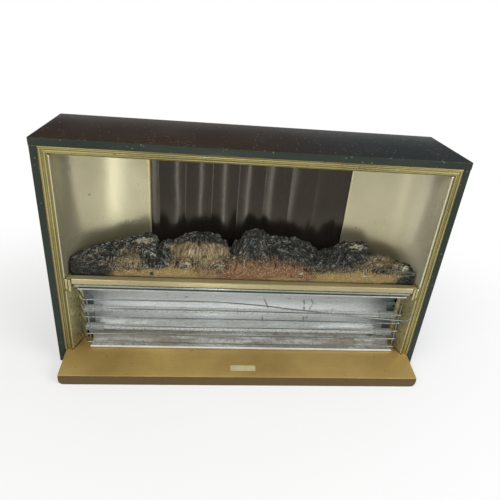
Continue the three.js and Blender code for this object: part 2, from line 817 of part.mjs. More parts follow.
// Height of the bed over the shelf at a drawn plan point, depth counted from the bed's front.
function bedHeight(x, depth) {
  const top = crestHeight(x);
  const wall = 15 + 13 * THREE.MathUtils.smoothstep(Math.abs(x), 246, 262);
  const rising = THREE.MathUtils.smoothstep(depth, -6, 40);
  const falling = 1 - 0.35 * THREE.MathUtils.smoothstep(depth, 48, 78);
  const body = THREE.MathUtils.lerp(wall, top - lumpSink, rising) * falling;
  const y = bedFront + depth;
  const lump = Math.max(...lumps.map((one) => lumpHeight(one, x, y)));
  const rough = 5 * (smoothNoise(x / 11, y / 9) - 0.5) + 3 * (smoothNoise(x / 5, y / 5) - 0.5);
  const fade = THREE.MathUtils.smoothstep(depth, 0, 8);
  return Math.max(6, body + fade * (lump + rough));
}

// Depth at which the bed meets the cheek or the screen for a given distance from the middle.
function bedBack(x) {
  const far = screenY - fluteRise - screenThickness - 1.4;
  const points = cheekCurve().getPoints(60);
  const edge = Math.abs(x) + 3;
  const hit = points.find((p) => p.x <= edge);
  return Math.min(far, hit ? hit.y - 2.5 : far);
}

// The moulded log skin: a top and an under surface over the same plan grid, joined at the rim.
function fuelBed() {
  const positions = [];
  const base = shelfTop + seatGap;
  for (const under of [false, true]) {
    for (let i = 0; i <= bedColumns; i += 1) {
      const x = -bedHalfWidth + (2 * bedHalfWidth * i) / bedColumns;
      const back = bedBack(x);
      for (let j = 0; j <= bedRows; j += 1) {
        const y = THREE.MathUtils.lerp(bedFront, back, j / bedRows);
        const rim = i === 0 || i === bedColumns || j === 0 || j === bedRows;
        const height = bedHeight(x / bedStretch, y - bedFront);
        const low = rim ? 0 : Math.max(0.6, height - bedSkin);
        positions.push(x, y, base + (under ? low : height));
      }
    }
  }
  const geometry = new THREE.BufferGeometry();
  geometry.setAttribute('position', new THREE.Float32BufferAttribute(positions, 3));
  geometry.setIndex([...bedFaces(), ...bedRim()]);
  return toSolid(geometry);
}

const bedStride = bedRows + 1;
const bedSheetSize = (bedColumns + 1) * bedStride;

function bedFaces() {
  const faces = [];
  for (let i = 0; i < bedColumns; i += 1) {
    for (let j = 0; j < bedRows; j += 1) {
      const a = i * bedStride + j;
      const b = a + bedStride;
      faces.push(a, b, b + 1, a, b + 1, a + 1);
      const [c, d] = [a + bedSheetSize, b + bedSheetSize];
      faces.push(c, d + 1, d, c, c + 1, d + 1);
    }
  }
  return faces;
}

function bedRim() {
  const loop = [];
  for (let i = 0; i < bedColumns; i += 1) loop.push(i * bedStride);
  for (let j = 0; j < bedRows; j += 1) loop.push(bedColumns * bedStride + j);
  for (let i = bedColumns; i > 0; i -= 1) loop.push(i * bedStride + bedRows);
  for (let j = bedRows; j > 0; j -= 1) loop.push(j);
  return loop.flatMap((a, k) => {
    const b = loop[(k + 1) % loop.length];
    return [a, a + bedSheetSize, b + bedSheetSize, a, b + bedSheetSize, b];
  });
}

// ---- light chamber ------------------------------------------------------------------

const holderTop = 40;
const capTop = 52;
const bracketZ = needleTop - 18;

// Bayonet holder on the base, with the socket the lamp's cap stands in.
function lampHolder(x) {
  const bottom = baseHeight + sheet + seatGap;
  const profile = [
    [0, bottom], [19, bottom], [19, bottom + 3], [15.5, bottom + 5], [15.5, holderTop - 8],
    [17, holderTop - 7], [17, holderTop], [11.6, holderTop], [11.6, 22], [0, 22]
  ];
  return turned(profile, 16, [x, lampY, 0]);
}

function lampCap(x) {
  const profile = [
    [0, 22 + seatGap], [9, 22 + seatGap], [11, 24.5], [11, capTop - 4], [12, capTop], [0, capTop]
  ];
  return turned(profile, 16, [x, lampY, 0]);
}

function lampBulb(x) {
  const middle = 108;
  const bottom = capTop + seatGap;
  const profile = [[0, bottom], [11.4, bottom], [12.4, bottom + 10], [17, bottom + 22]];
  for (let k = 0; k <= 7; k += 1) {
    const angle = THREE.MathUtils.lerp(-0.72, Math.PI / 2, k / 7);
    profile.push([Math.max(0, bulbRadius * Math.cos(angle)), middle + bulbRadius * Math.sin(angle)]);
  }
  profile[profile.length - 1][0] = 0;
  return turned(profile, 14, [x, lampY, 0]);
}

// Strip from the back panel over the lamp, which carries the spinner's needle.
function pivotBracket(x) {
  const y = backPanelY - seatGap - sheet / 2;
  const z = bracketZ;
  const path = bentPath([[y, z - 22], [y, z], [lampY - 7, z]], 3);
  const strip = prismX(sheetOutline(path, sheet), x - 6, x + 6);
  const pin = rod([x, lampY, z - 3], [x, lampY, z + 3], needleRadius + 0.06, 12);
  return cut(strip, pin);
}

const needleRadius = 1.2;

function pivotNeedle(x) {
  const seat = bracketZ + sheet / 2;
  const profile = [
    [0, seat - 3], [needleRadius, seat - 3], [needleRadius, seat + seatGap],
    [2.4, seat + seatGap], [2.4, seat + 1.6], [1, seat + 3], [0.8, needleTop - 3], [0, needleTop]
  ];
  return turned(profile, 12, [x, lampY, 0]);
}

// Pressed spinner: cup over the needle, twisted vanes, rim band.
function spinner(x) {
  const cup = needleTop + 0.4;
  const hub = turned([
    [0, cup], [1.9, cup - 4.6], [10.5, cup - 5], [10.5, cup - 4], [3.2, cup - 3.4], [0, cup + 1.4]
  ], 10, [0, 0, 0]);
  const band = turned([
    [spinnerRadius - 0.9, cup - 7], [spinnerRadius, cup - 7],
    [spinnerRadius, cup - 2], [spinnerRadius - 0.9, cup - 2], [spinnerRadius - 0.9, cup - 7]
  ], 20, [0, 0, 0]);
  const vane = new THREE.BoxGeometry(spinnerRadius - 10, 9, 0.7);
  vane.rotateX(THREE.MathUtils.degToRad(24));
  vane.translate((spinnerRadius + 9) / 2, 0, cup - 4.5);
  const blade = toSolid(vane);
  const blades = Array.from({ length: spinnerBlades }, (_, k) => (
    blade.rotate([0, 0, (k * 360) / spinnerBlades])
  ));
  return join(hub, band, ...blades).translate([x, lampY, 0]);
}

// ---- wiring inside ------------------------------------------------------------------

const glandX = casingWidth / 2 - 88;
const glandZ = baseHeight + 34;
const glandNeck = 6;

// Rubber bush in the back panel, with a groove that the sheet sits in.
function cableBush() {
  const inner = backPanelY - seatGap;
  const outer = backPanelY + sheet + seatGap;
  const bore = 3.8;
  const profile = [
    [bore, inner - 2.4], [bore, outer + 2.6], [7.6, outer + 2.6], [9, outer + 1.4], [9, outer],
    [glandNeck, outer], [glandNeck, inner], [9, inner], [8.4, inner - 2.4], [bore, inner - 2.4]
  ];
  return turned(profile, 12, [glandX, 0, glandZ], 'y');
}

// Three-way terminal block: stepped body with screw wells and wire ways.
function terminalBlock() {
  const [x, y] = [glandX - 36, backPanelY - 22];
  const bottom = baseHeight + sheet + seatGap;
  const outline = polygon([
    [y - 9, bottom], [y + 9, bottom], [y + 9, bottom + 8], [y + 4.5, bottom + 8],
    [y + 4.5, bottom + 15], [y - 4.5, bottom + 15], [y - 4.5, bottom + 8], [y - 9, bottom + 8]
  ]);
  const wells = [-15, 0, 15].map((step) => rod(
    [x + step, y, bottom + 6], [x + step, y, bottom + 17], 2.6, 8
  ));
  const ways = [-15, 0, 15].map((step) => rod(
    [x + step, y - 11, bottom + 4.5], [x + step, y + 11, bottom + 4.5], 2.4, 8
  ));
  return cut(prismX(outline, x - 23, x + 23), ...wells, ...ways);
}

// ---- switches -----------------------------------------------------------------------

function rockerMiddles() {
  return [switchZ + rockerSpacing / 2, switchZ - rockerSpacing / 2];
}

function switchHousing() {
  const [w, h] = bezelSize;
  const front = casingWidth / 2 - bezelRecess + seatGap + bezelThickness;
  const back = front - 30;
  const bezel = roundedRectangle(
    switchY - w / 2, switchZ - h / 2, switchY + w / 2, switchZ + h / 2, 2.2
  );
  const body = roundedRectangle(
    switchY - w / 2 + 4, switchZ - h / 2 + 3, switchY + w / 2 - 4, switchZ + h / 2 - 3, 0.8
  );
  const shell = join(
    prismX(bezel, front - bezelThickness, front),
    prismX(body, back, front - bezelThickness / 2)
  );
  const reach = rockerLength / 2 + seatGap;
  const pockets = rockerMiddles().map((z) => prismX(polygon([
    [switchY - reach, z - rockerHalfHeight - 1.4], [switchY + reach, z - rockerHalfHeight - 1.4],
    [switchY + reach, z + rockerHalfHeight + 1.4], [switchY - reach, z + rockerHalfHeight + 1.4]
  ]), back + 13, front + 2));
  const pins = rockerMiddles().map((z) => rod(
    [rockerPivotX, switchY - reach - 0.9, z], [rockerPivotX, switchY + reach + 0.9, z], 1.25, 10
  ));
  return cut(shell, ...pockets, ...pins);
}

// A rocker at rest with its lower half pressed in, pivoting on its two pins.
function rocker(z) {
  const face = 5.7;
  const outline = new THREE.Shape();
  outline.moveTo(face + 1.4, -rockerHalfHeight);
  outline.quadraticCurveTo(face - 0.4, 0, face + 1.4, rockerHalfHeight);
  outline.lineTo(1.5, rockerHalfHeight - 0.6);
  outline.quadraticCurveTo(-5.6, 3, -5.6, 0);
  outline.quadraticCurveTo(-5.6, -3, 1.5, -rockerHalfHeight + 0.6);
  const body = prismY(outline, -rockerLength / 2, rockerLength / 2, 6);
  const pins = rod([0, -rockerLength / 2 - 1, 0], [0, rockerLength / 2 + 1, 0], 1, 10);
  return join(body, pins)
    .rotate([0, THREE.MathUtils.radToDeg(rockerTilt), 0])
    .translate([rockerPivotX, switchY, z]);
}

// ---- the assembly -------------------------------------------------------------------

const root = new THREE.Group();
root.name = 'electric_bar_heater';

// Adds one node, moved so that the origin is the middle of the footprint.
function add(name, finish, solid) {
  const [color, roughness, metalness] = finishes[finish];
  const geometry = toGeometry(solid.translate([0, -originY, 0])).toNonIndexed();
  geometry.computeVertexNormals();
  const material = new THREE.MeshStandardMaterial({ color, roughness, metalness });
  const mesh = new THREE.Mesh(geometry, material);
  mesh.name = name;
  root.add(mesh);
}

add('casing_top_board', 'lacquer', casingTopBoard());
add('casing_left_board', 'lacquer', mirrored(casingSideBoard()));
add('casing_right_board', 'lacquer', cut(casingSideBoard(), switchRecess()));
add('back_batten_left', 'softwood', mirrored(backBatten()));
add('back_batten_right', 'softwood', backBatten());
add('back_panel', 'zincSheet', backPanel());
add('chassis_base', 'zincSheet', chassisBase());
['front_left', 'front_right', 'back_left', 'back_right'].forEach((place, k) => {
  add(`foot_${place}`, 'blackRubber', foot(footPlaces()[k]));
});

add('trim_top', 'brassTrim', trimTop());
add('trim_left', 'brassTrim', mirrored(trimSide()));
add('trim_right', 'brassTrim', trimSide());
add('hearth_tray', 'goldSheet', hearthTray());
add('tray_plate', 'cream', trayPlate());

add('cheek_left', 'champagne', mirrored(cheek()));
add('cheek_right', 'champagne', cheek());
add('flame_screen', 'bronzeScreen', flameScreen());
add('canopy_plate', 'zincSheet', canopyPlate());
add('fuel_bed', 'charcoal', fuelBed());
add('fuel_bed_shelf', 'goldSheet', fuelBedShelf());
add('shelf_bracket_left', 'goldSheet', mirrored(shelfBracket()));
add('shelf_bracket_right', 'goldSheet', shelfBracket());
add('hood_strip', 'mirror', hoodStrip());
add('lower_side_left', 'goldSheet', lowerSidePanel(-1));
add('lower_side_right', 'goldSheet', lowerSidePanel(1));
add('reflector', 'mirror', reflector());

add('end_plate_left', 'darkSteel', mirrored(endPlate()));
add('end_plate_right', 'darkSteel', endPlate());
['upper', 'lower'].forEach((level, k) => {
  const z = elementHeights[k];
  add(`element_tube_${level}`, 'silica', elementTube(z));
  add(`element_coil_${level}`, 'coil', elementCoil(z));
  add(`end_cap_${level}_left`, 'ceramic', mirrored(endCap(z)));
  add(`end_cap_${level}_right`, 'ceramic', endCap(z));
});
add('guard', 'chrome', guard());
add('guard_loose_wire', 'chrome', guardLooseWire());

[['left', -lampX], ['right', lampX]].forEach(([side, x]) => {
  add(`lamp_holder_${side}`, 'bakelite', lampHolder(x));
  add(`lamp_cap_${side}`, 'aluminium', lampCap(x));
  add(`lamp_bulb_${side}`, 'bulbGlass', lampBulb(x));
  add(`pivot_bracket_${side}`, 'zincSheet', pivotBracket(x));
  add(`pivot_needle_${side}`, 'steelPin', pivotNeedle(x));
  add(`spinner_${side}`, 'aluminium', spinner(x));
});
add('terminal_block', 'ceramic', terminalBlock());
add('cable_bush', 'blackRubber', cableBush());
add('switch_housing', 'blackPlastic', switchHousing());
add('rocker_upper', 'redPlastic', rocker(rockerMiddles()[0]));
add('rocker_lower', 'redPlastic', rocker(rockerMiddles()[1]));

export default root;
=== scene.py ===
# %% [markdown]
# # Dressing an electric bar heater
#
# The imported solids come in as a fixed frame: every board, sheet and tube already has its
# true size and place. This lesson gives each of them a finish, makes the moulded logs,
# the guard, the coils and the screws in full detail, and lights the whole softly.

# %% Load the frame
import math

import bmesh
import bpy
import numpy as np
from mathutils import Matrix, Vector


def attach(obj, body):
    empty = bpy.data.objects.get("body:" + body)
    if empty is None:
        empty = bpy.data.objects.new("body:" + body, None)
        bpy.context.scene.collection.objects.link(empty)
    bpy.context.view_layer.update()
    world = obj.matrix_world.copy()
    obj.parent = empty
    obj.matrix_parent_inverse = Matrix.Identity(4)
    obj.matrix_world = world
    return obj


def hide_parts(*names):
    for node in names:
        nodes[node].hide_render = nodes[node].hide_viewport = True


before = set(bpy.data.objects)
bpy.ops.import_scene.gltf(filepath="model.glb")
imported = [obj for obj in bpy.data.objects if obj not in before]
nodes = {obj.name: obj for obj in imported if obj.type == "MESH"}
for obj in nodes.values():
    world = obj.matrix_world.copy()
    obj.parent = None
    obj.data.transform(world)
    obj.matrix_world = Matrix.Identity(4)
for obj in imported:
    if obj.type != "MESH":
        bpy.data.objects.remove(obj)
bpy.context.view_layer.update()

scene = bpy.context.scene
print("nodes in the frame:", len(nodes))

# %% [markdown]
# ## Units
#
# Sheet metal and joinery are thought of in millimetres from the casing's front plane. Blender
# and the frame use metres from the middle of the footprint, so one helper turns the one
# into the other, and every new piece goes through it.

# %% From workshop millimetres to the frame
MM = 0.001
FRONT_PLANE = 52.0


def placed(points):
    """Points in millimetres from the front plane, as metres in the frame."""
    moved = np.asarray(points, float) - (0.0, FRONT_PLANE, 0.0)
    return moved * MM


# %% [markdown]
# ## The camera
#
# The photograph was taken standing in front and a little to the left, looking down. A
# camera fitted to the casing's edges gives its place, its three turns and its lens. The
# small shift keeps the photograph's framing.

# %% Camera at the photograph's viewing angle
CAMERA_AT = (-76, -673, 632.2)
YAW, PITCH, ROLL = 6.22, -26.87, 5.09
SENSOR = 36
FOCAL_SHARE = 444.8 / 500
CENTRE_SHIFT = ((250 - 251.7) / 500, (234.6 - 250) / 500)


def camera_axes(yaw, pitch, roll):
    """Right, up and back vectors of a camera turned by three angles in degrees."""
    a, b, c = (math.radians(v) for v in (yaw, pitch, roll))
    forward = Vector((math.sin(a) * math.cos(b), math.cos(a) * math.cos(b), math.sin(b)))
    level = Vector((math.cos(a), -math.sin(a), 0))
    upright = level.cross(forward)
    right = level * math.cos(c) + upright * math.sin(c)
    up = upright * math.cos(c) - level * math.sin(c)
    return right, up, -forward


camera = bpy.data.objects.new("view_camera", bpy.data.cameras.new("view_camera"))
scene.collection.objects.link(camera)
scene.camera = camera
camera.data.sensor_width = SENSOR
camera.data.lens = SENSOR * FOCAL_SHARE
camera.data.shift_x, camera.data.shift_y = CENTRE_SHIFT
camera.data.clip_start, camera.data.clip_end = 0.02, 50
turn = Matrix(camera_axes(YAW, PITCH, ROLL)).transposed().to_4x4()
camera.matrix_world = Matrix.Translation(placed(CAMERA_AT)) @ turn
print("camera lens", round(camera.data.lens, 2), "mm")

# %% [markdown]
# ## Short hand for node trees
#
# Finishes and repeated parts are both node trees. A small class keeps the building of
# them readable: it adds a node, sets or links its sockets, and hands back an output.

# %% Colours and the tree helper
def rgb(code):
    """A written colour such as 9a8f55 as the linear values that a socket takes."""
    parts = [int(code[i:i + 2], 16) / 255 for i in (0, 2, 4)]
    linear = [p / 12.92 if p <= 0.04045 else ((p + 0.055) / 1.055) ** 2.4 for p in parts]
    return (*linear, 1.0)


class Tree:
    """Adds nodes to a tree and joins them."""

    def __init__(self, tree):
        self.tree = tree
        self.made = 0

    def add(self, kind, inputs=None, **settings):
        node = self.tree.nodes.new(kind)
        node.location = (180 * (self.made % 12), -260 * (self.made // 12))
        self.made += 1
        for key, value in settings.items():
            setattr(node, key, value)
        for key, value in (inputs or {}).items():
            self.feed(node.inputs[key], value)
        return node

    def feed(self, socket, value):
        if isinstance(value, bpy.types.NodeSocket):
            self.tree.links.new(value, socket)
        else:
            socket.default_value = value

    def feed_named(self, node, values):
        """Feeds sockets by their names, written with _ for each space."""
        for key, value in values.items():
            self.feed(node.inputs[key.replace("_", " ")], value)

    def get(self, kind, inputs=None, **settings):
        """The first output of a new node."""
        return self.add(kind, inputs, **settings).outputs[0]

    def math(self, operation, a, b=0.0, c=0.0, clamp=False):
        return self.get("ShaderNodeMath", {0: a, 1: b, 2: c}, operation=operation, use_clamp=clamp)

    def times(self, a, b, clamp=False):
        return self.math("MULTIPLY", a, b, clamp=clamp)

    def plus(self, a, b, clamp=False):
        return self.math("ADD", a, b, clamp=clamp)

    def minus(self, a, b, clamp=False):
        return self.math("SUBTRACT", a, b, clamp=clamp)

    def size(self, value):
        return self.math("ABSOLUTE", value)

    def span(self, value, low, high, to_low=0.0, to_high=1.0):
        node = self.add("ShaderNodeMapRange", {
            "Value": value, "From Min": low, "From Max": high,
            "To Min": to_low, "To Max": to_high,
        }, interpolation_type="SMOOTHSTEP")
        return node.outputs["Result"]

    def mix(self, share, a, b):
        return self.add("ShaderNodeMix", {0: share, 6: a, 7: b}, data_type="RGBA").outputs[2]

    def tone(self, share, dark, light):
        return self.mix(share, rgb(dark), rgb(light))

    def coats(self, base, *layers):
        """Lays colours over a base: each a mask, a written colour and how full it gets."""
        for mask, code, *full in layers:
            base = self.mix(self.times(mask, full[0]) if full else mask, base, rgb(code))
        return base

    def noise(self, vector, scale, detail=3.0, roughness=0.5, distortion=0.0):
        return self.get("ShaderNodeTexNoise", {
            "Vector": vector, "Scale": scale, "Detail": detail,
            "Roughness": roughness, "Distortion": distortion,
        })

    def stretched(self, vector, scale):
        return self.get("ShaderNodeMapping", {"Vector": vector, "Scale": scale})

    def place(self):
        """The point on the surface, in the frame's metres."""
        return self.add("ShaderNodeTexCoord").outputs["Object"]

    def axes(self, vector):
        return self.add("ShaderNodeSeparateXYZ", {0: vector}).outputs

    def joined(self, x, y=0.0, z=0.0):
        return self.get("ShaderNodeCombineXYZ", {0: x, 1: y, 2: z})

    def facing(self):
        return self.axes(self.add("ShaderNodeNewGeometry").outputs["Normal"])

    def drawn(self, attribute, output="Fac"):
        """What the mesh keeps for each of its points under a name."""
        return self.add("ShaderNodeAttribute", attribute_name=attribute).outputs[output]


# %% [markdown]
# ## Shared effects
#
# The same few things happen to every finish on an old heater: the colour clouds over,
# edges rub bright or chip, dust settles on what faces up, and sheet metal keeps the fine
# lines of its rolling. Each is one group with its own values in each material, so a
# change to the effect reaches them all.

# %% A helper that makes a group
FLOAT, VECTOR, INT = "NodeSocketFloat", "NodeSocketVector", "NodeSocketInt"
STUFF, THING, SHAPE = "NodeSocketMaterial", "NodeSocketObject", "NodeSocketGeometry"


def new_group(name, inputs, outputs, kind="ShaderNodeTree"):
    """An empty group with named sockets, its tree helper, its inputs and its exit node."""
    group = bpy.data.node_groups.new(name, kind)
    for label, (socket_kind, *value) in inputs.items():
        socket = group.interface.new_socket(label, in_out="INPUT", socket_type=socket_kind)
        if value:
            socket.default_value = value[0]
    for label, socket_kind in outputs.items():
        group.interface.new_socket(label, in_out="OUTPUT", socket_type=socket_kind)
    print("group", name, "with", len(inputs), "inputs")
    tree = Tree(group)
    return group, tree, tree.add("NodeGroupInput").outputs, tree.add("NodeGroupOutput").inputs


# %% Clouds: slow change of tone over a surface, with a finer grain in it
clouds_group, t, given, out = new_group(
    "surface clouds",
    {"Scale": (FLOAT, 9.0), "Seed": (FLOAT, 0.0), "Contrast": (FLOAT, 1.0)},
    {"Clouds": FLOAT, "Grain": FLOAT},
)
offset = t.joined(given["Seed"], given["Seed"])
moved = t.get("ShaderNodeVectorMath", {0: t.place(), 1: offset}, operation="ADD")
centred = t.minus(t.noise(moved, given["Scale"], 4.0, 0.55, 0.4), 0.5)
t.feed(out["Clouds"], t.math("MULTIPLY_ADD", centred, given["Contrast"], 0.5, clamp=True))
t.feed(out["Grain"], t.noise(moved, t.times(given["Scale"], 18.0), 3.0, 0.6))

# %% Worn edges: compares the true normal with one rounded over a small radius
edges_group, t, given, out = new_group(
    "worn edges",
    {"Radius": (FLOAT, 0.0012), "Amount": (FLOAT, 1.0), "Breakup": (FLOAT, 90.0)},
    {"Wear": FLOAT, "Rounded": VECTOR},
)
rounded = t.get("ShaderNodeBevel", {"Radius": given["Radius"]}, samples=6)
plain = t.add("ShaderNodeNewGeometry").outputs["Normal"]
along = t.add("ShaderNodeVectorMath", {0: rounded, 1: plain}, operation="DOT_PRODUCT")
bent = t.span(along.outputs["Value"], 0.995, 0.86)
broken = t.span(t.noise(t.place(), given["Breakup"], 4.0, 0.65), 0.40, 0.62)
t.feed(out["Wear"], t.times(t.times(bent, broken), given["Amount"], clamp=True))
t.feed(out["Rounded"], rounded)

# %% Settled dust: lies on what faces up, thicker in some places than others
dust_group, t, given, out = new_group(
    "settled dust", {"Amount": (FLOAT, 0.5), "Scale": (FLOAT, 60.0)}, {"Dust": FLOAT})
upward = t.span(t.facing()["Z"], 0.35, 0.95)
fine = t.noise(t.place(), given["Scale"], 5.0, 0.7)
broad = t.noise(t.place(), 7.0, 3.0, 0.5)
lying = t.times(t.span(fine, 0.38, 0.74), t.span(broad, 0.3, 0.7))
t.feed(out["Dust"], t.times(t.times(lying, upward), given["Amount"], clamp=True))

# %% Rolled lines: fine streaks along the way a sheet was rolled or brushed
lines_group, t, given, out = new_group(
    "rolled lines",
    {"Stretch": (VECTOR, (3.0, 160.0, 160.0)), "Strength": (FLOAT, 1.0)},
    {"Lines": FLOAT},
)
along = t.get("ShaderNodeVectorMath", {0: t.place(), 1: given["Stretch"]}, operation="MULTIPLY")
streaks = t.minus(t.noise(along, 6.0, 4.0, 0.7), 0.5)
t.feed(out["Lines"], t.math("MULTIPLY_ADD", streaks, given["Strength"], 0.5))

# %% Stains: blots with a darker rim, and small specks
stains_group, t, given, out = new_group(
    "stains and specks",
    {"Scale": (FLOAT, 20.0), "Cover": (FLOAT, 0.5), "Speck Scale": (FLOAT, 320.0)},
    {"Stain": FLOAT, "Specks": FLOAT},
)
blot = t.noise(t.place(), given["Scale"], 5.0, 0.6, 1.2)
edge = t.minus(0.78, t.times(given["Cover"], 0.3))
inner, core = t.plus(edge, 0.05), t.plus(edge, 0.12)
inside = t.span(blot, edge, inner)
rim = t.minus(inside, t.span(blot, inner, core))
t.feed(out["Stain"], t.plus(t.times(inside, 0.55), t.times(rim, 0.45)))
dots = t.add("ShaderNodeTexVoronoi", {"Vector": t.place(), "Scale": given["Speck Scale"]}).outputs
chosen = t.get("ShaderNodeTexWhiteNoise", {"Vector": dots["Position"]})
near = t.span(dots["Distance"], 0.30, 0.12)
t.feed(out["Specks"], t.times(near, t.span(chosen, 0.86, 0.9)))

# %% [markdown]
# ## Starting a finish
#
# Each finish is a Principled shader with its plain values on its own sockets. What varies
# over the surface comes from the effect groups, and is mixed in the material itself.

# %% Finish helper
MATERIALS = {}


class Finish(Tree):
    """The tree of a new material, with one Principled shader and the shared effects."""

    def __init__(self, name, **values):
        material = MATERIALS[name] = bpy.data.materials.new(name)
        material.use_nodes = True
        super().__init__(material.node_tree)
        self.shader = self.tree.nodes["Principled BSDF"]
        self.set(**values)
        print("finish", name)

    def set(self, **values):
        self.feed_named(self.shader, values)

    def effect(self, group, **values):
        node = self.add("ShaderNodeGroup", node_tree=group)
        self.feed_named(node, values)
        return node.outputs

    def bump(self, height, distance, strength, normal=None):
        node = self.add("ShaderNodeBump", {
            "Height": height, "Distance": distance, "Strength": strength,
        })
        if normal is not None:
            self.feed(node.inputs["Normal"], normal)
        self.set(Normal=node.outputs[0])


# %% [markdown]
# ## The lacquered casing
#
# The boards are stained nearly black-brown and varnished to a shine. Toward the right the
# brown goes over into a blue-black, which is a painted reflection of the room in the varnish,
# and the front edges lean to a greenish black. Knocks have chipped the lacquer down to
# orange-brown wood, and the top carries pale specks.

# %% Lacquer
t = Finish("dark_lacquer", IOR=1.45, Specular_IOR_Level=0.16)
clouds = t.effect(clouds_group, Scale=5.0, Contrast=1.6)
worn = t.effect(edges_group, Radius=0.0016, Amount=1.0, Breakup=70.0)
dust = t.effect(dust_group, Amount=0.1, Scale=140.0)
marks = t.effect(stains_group, Scale=16.0, Cover=0.35, Speck_Scale=190.0)
facing = t.facing()
grain = t.noise(t.stretched(t.place(), (2.0, 40.0, 40.0)), 5.0, 5.0, 0.6)
reflection_toward_right = t.plus(t.axes(t.place())["X"], t.times(clouds["Clouds"], 0.3))
brown = t.coats(
    t.tone(clouds["Clouds"], "22160d", "38271a"),
    (grain, "160f0a", 0.35),
    # painted reflection: the blue-black toward the right stands for the room mirrored in the
    # varnish
    (t.span(reflection_toward_right, 0.1, 0.42), "1f2729"),
)
green = t.tone(clouds["Clouds"], "222722", "333c34")
splashes = t.span(t.size(facing["X"]), 0.6, 0.9, 0.3, 0.1)
base = t.coats(
    t.mix(t.span(facing["Y"], -0.6, -0.9), brown, green),
    (t.times(worn["Wear"], t.span(clouds["Clouds"], 0.42, 0.62)), "8a5f37"),
    (marks["Specks"], "b9b2a2", splashes),
    (dust["Dust"], "8d8678"),
)
gloss = t.plus(t.span(clouds["Clouds"], 0.2, 0.8, 0.16, 0.26), t.times(dust["Dust"], 0.5))
t.set(Base_Color=base, Roughness=gloss)
t.bump(t.plus(clouds["Clouds"], t.times(grain, 0.1)), 0.0004, 0.3, worn["Rounded"])

# %% [markdown]
# ## Gold and brass sheet
#
# Surround, tray, shelf and side panels are thin aluminium sheet with a gold lacquer: an
# olive gold that goes brown in clouds and pale on rubbed edges. One function makes them
# all with their own tones, so that they look like one family. Two take something more:
# along the surround's fine pressed ribs run painted shade and painted highlights, and on
# the tray a line of painted shade lies in the seam along the feet of the side panels. The
# tray's front lip is painted darker as shade.

# %% What only one of the sheets has
RIB_PITCH, RIBS_BESIDE, RIBS_ABOVE = 0.00325, 0.3247, 0.4112
FOOT_LEAN, FOOT_START = -0.305, 0.3068


def painted_rib_shade_and_highlights(t):
    """Painted shade and painted highlights along the pressed ribs of the surround's bars, which
    meet at its mitres.
    """
    spot = t.axes(t.place())
    beside, above = t.minus(t.size(spot["X"]), RIBS_BESIDE), t.minus(spot["Z"], RIBS_ABOVE)
    turn = t.times(t.math("MAXIMUM", beside, above), math.pi / RIB_PITCH)
    rib = t.size(t.math("COSINE", turn))
    # painted shade in the rib hollows and painted highlights on the rib crests
    return [(t.span(rib, 0.45, 0.1, 0.0, 0.6), "3b3315"),
            (t.span(rib, 0.8, 1.0, 0.0, 0.4), "d6cd92")]


def painted_seam_shade(t):
    """A line of painted shade in the seam where the leaning side panels stand on the tray."""
    spot = t.axes(t.place())
    foot = t.math("MULTIPLY_ADD", spot["Y"], FOOT_LEAN, FOOT_START)
    away = t.size(t.minus(t.size(spot["X"]), foot))
    seam_shade = t.times(t.span(away, 0.0024, 0.0009), t.span(spot["Y"], -0.013, -0.016))
    # painted shade: a dark brown line in the seam at the side panels' feet
    return [(t.times(seam_shade, t.span(spot["Y"], -0.056, -0.053)), "35281a", 0.85)]


# %% Gold sheet family
def gold_sheet(name, dark, light, edge, rough, seed, metal=0.66, stretch=(3.0, 160.0, 160.0),
               cloud_scale=7.0, stain=0.35, lip=None, more=None):
    t = Finish(name)
    clouds = t.effect(clouds_group, Scale=cloud_scale, Seed=seed, Contrast=1.8)
    worn = t.effect(edges_group, Radius=0.0008, Amount=0.8, Breakup=120.0)
    dust = t.effect(dust_group, Amount=0.2, Scale=110.0)
    lines = t.effect(lines_group, Stretch=stretch, Strength=1.0)
    marks = t.effect(stains_group, Scale=22.0, Cover=stain, Speck_Scale=300.0)
    base = t.coats(
        t.tone(clouds["Clouds"], dark, light),
        (t.span(lines["Lines"], 0.3, 0.7, 0.0, 0.25), dark),
        (marks["Stain"], "4b3b22", 0.5),
        (marks["Specks"], "d8d2bd", 0.22),
        # painted shade: the lip colour darkens the faces that look forward, the tray's front lip
        *([(t.span(t.facing()["Y"], -0.5, -0.95), lip)] if lip else []),
        (worn["Wear"], edge),
        (dust["Dust"], "a39c86"),
        *(more(t) if more else []),
    )
    gloss = t.plus(t.span(clouds["Grain"], 0.2, 0.8, *rough), t.times(dust["Dust"], 0.4))
    gloss = t.plus(gloss, t.times(marks["Stain"], 0.12), clamp=True)
    t.set(Base_Color=base, Roughness=gloss,
          Metallic=t.span(dust["Dust"], 0.0, 1.0, metal, 0.3))
    t.bump(lines["Lines"], 0.00008, 0.5, worn["Rounded"])


gold_sheet("surround_gold", "625a33", "a1955d", "dcd6a6", (0.25, 0.4), 3.0, more=painted_rib_shade_and_highlights)
# the tray's lip colour is painted shade on its forward-facing fold
gold_sheet("tray_gold", "967a40", "d6b76f", "dccb90", (0.26, 0.38), 8.0, 0.5, stain=0.3,
           cloud_scale=5.0, lip="5d4c2b", more=painted_seam_shade)
gold_sheet("panel_gold", "9f966b", "c8bd8c", "d8d1ab", (0.24, 0.36), 14.0, 0.64,
           stretch=(160.0, 160.0, 3.0))
gold_sheet("shelf_gold", "8f845e", "bcb086", "e0d9b8", (0.28, 0.42), 21.0, 0.5)
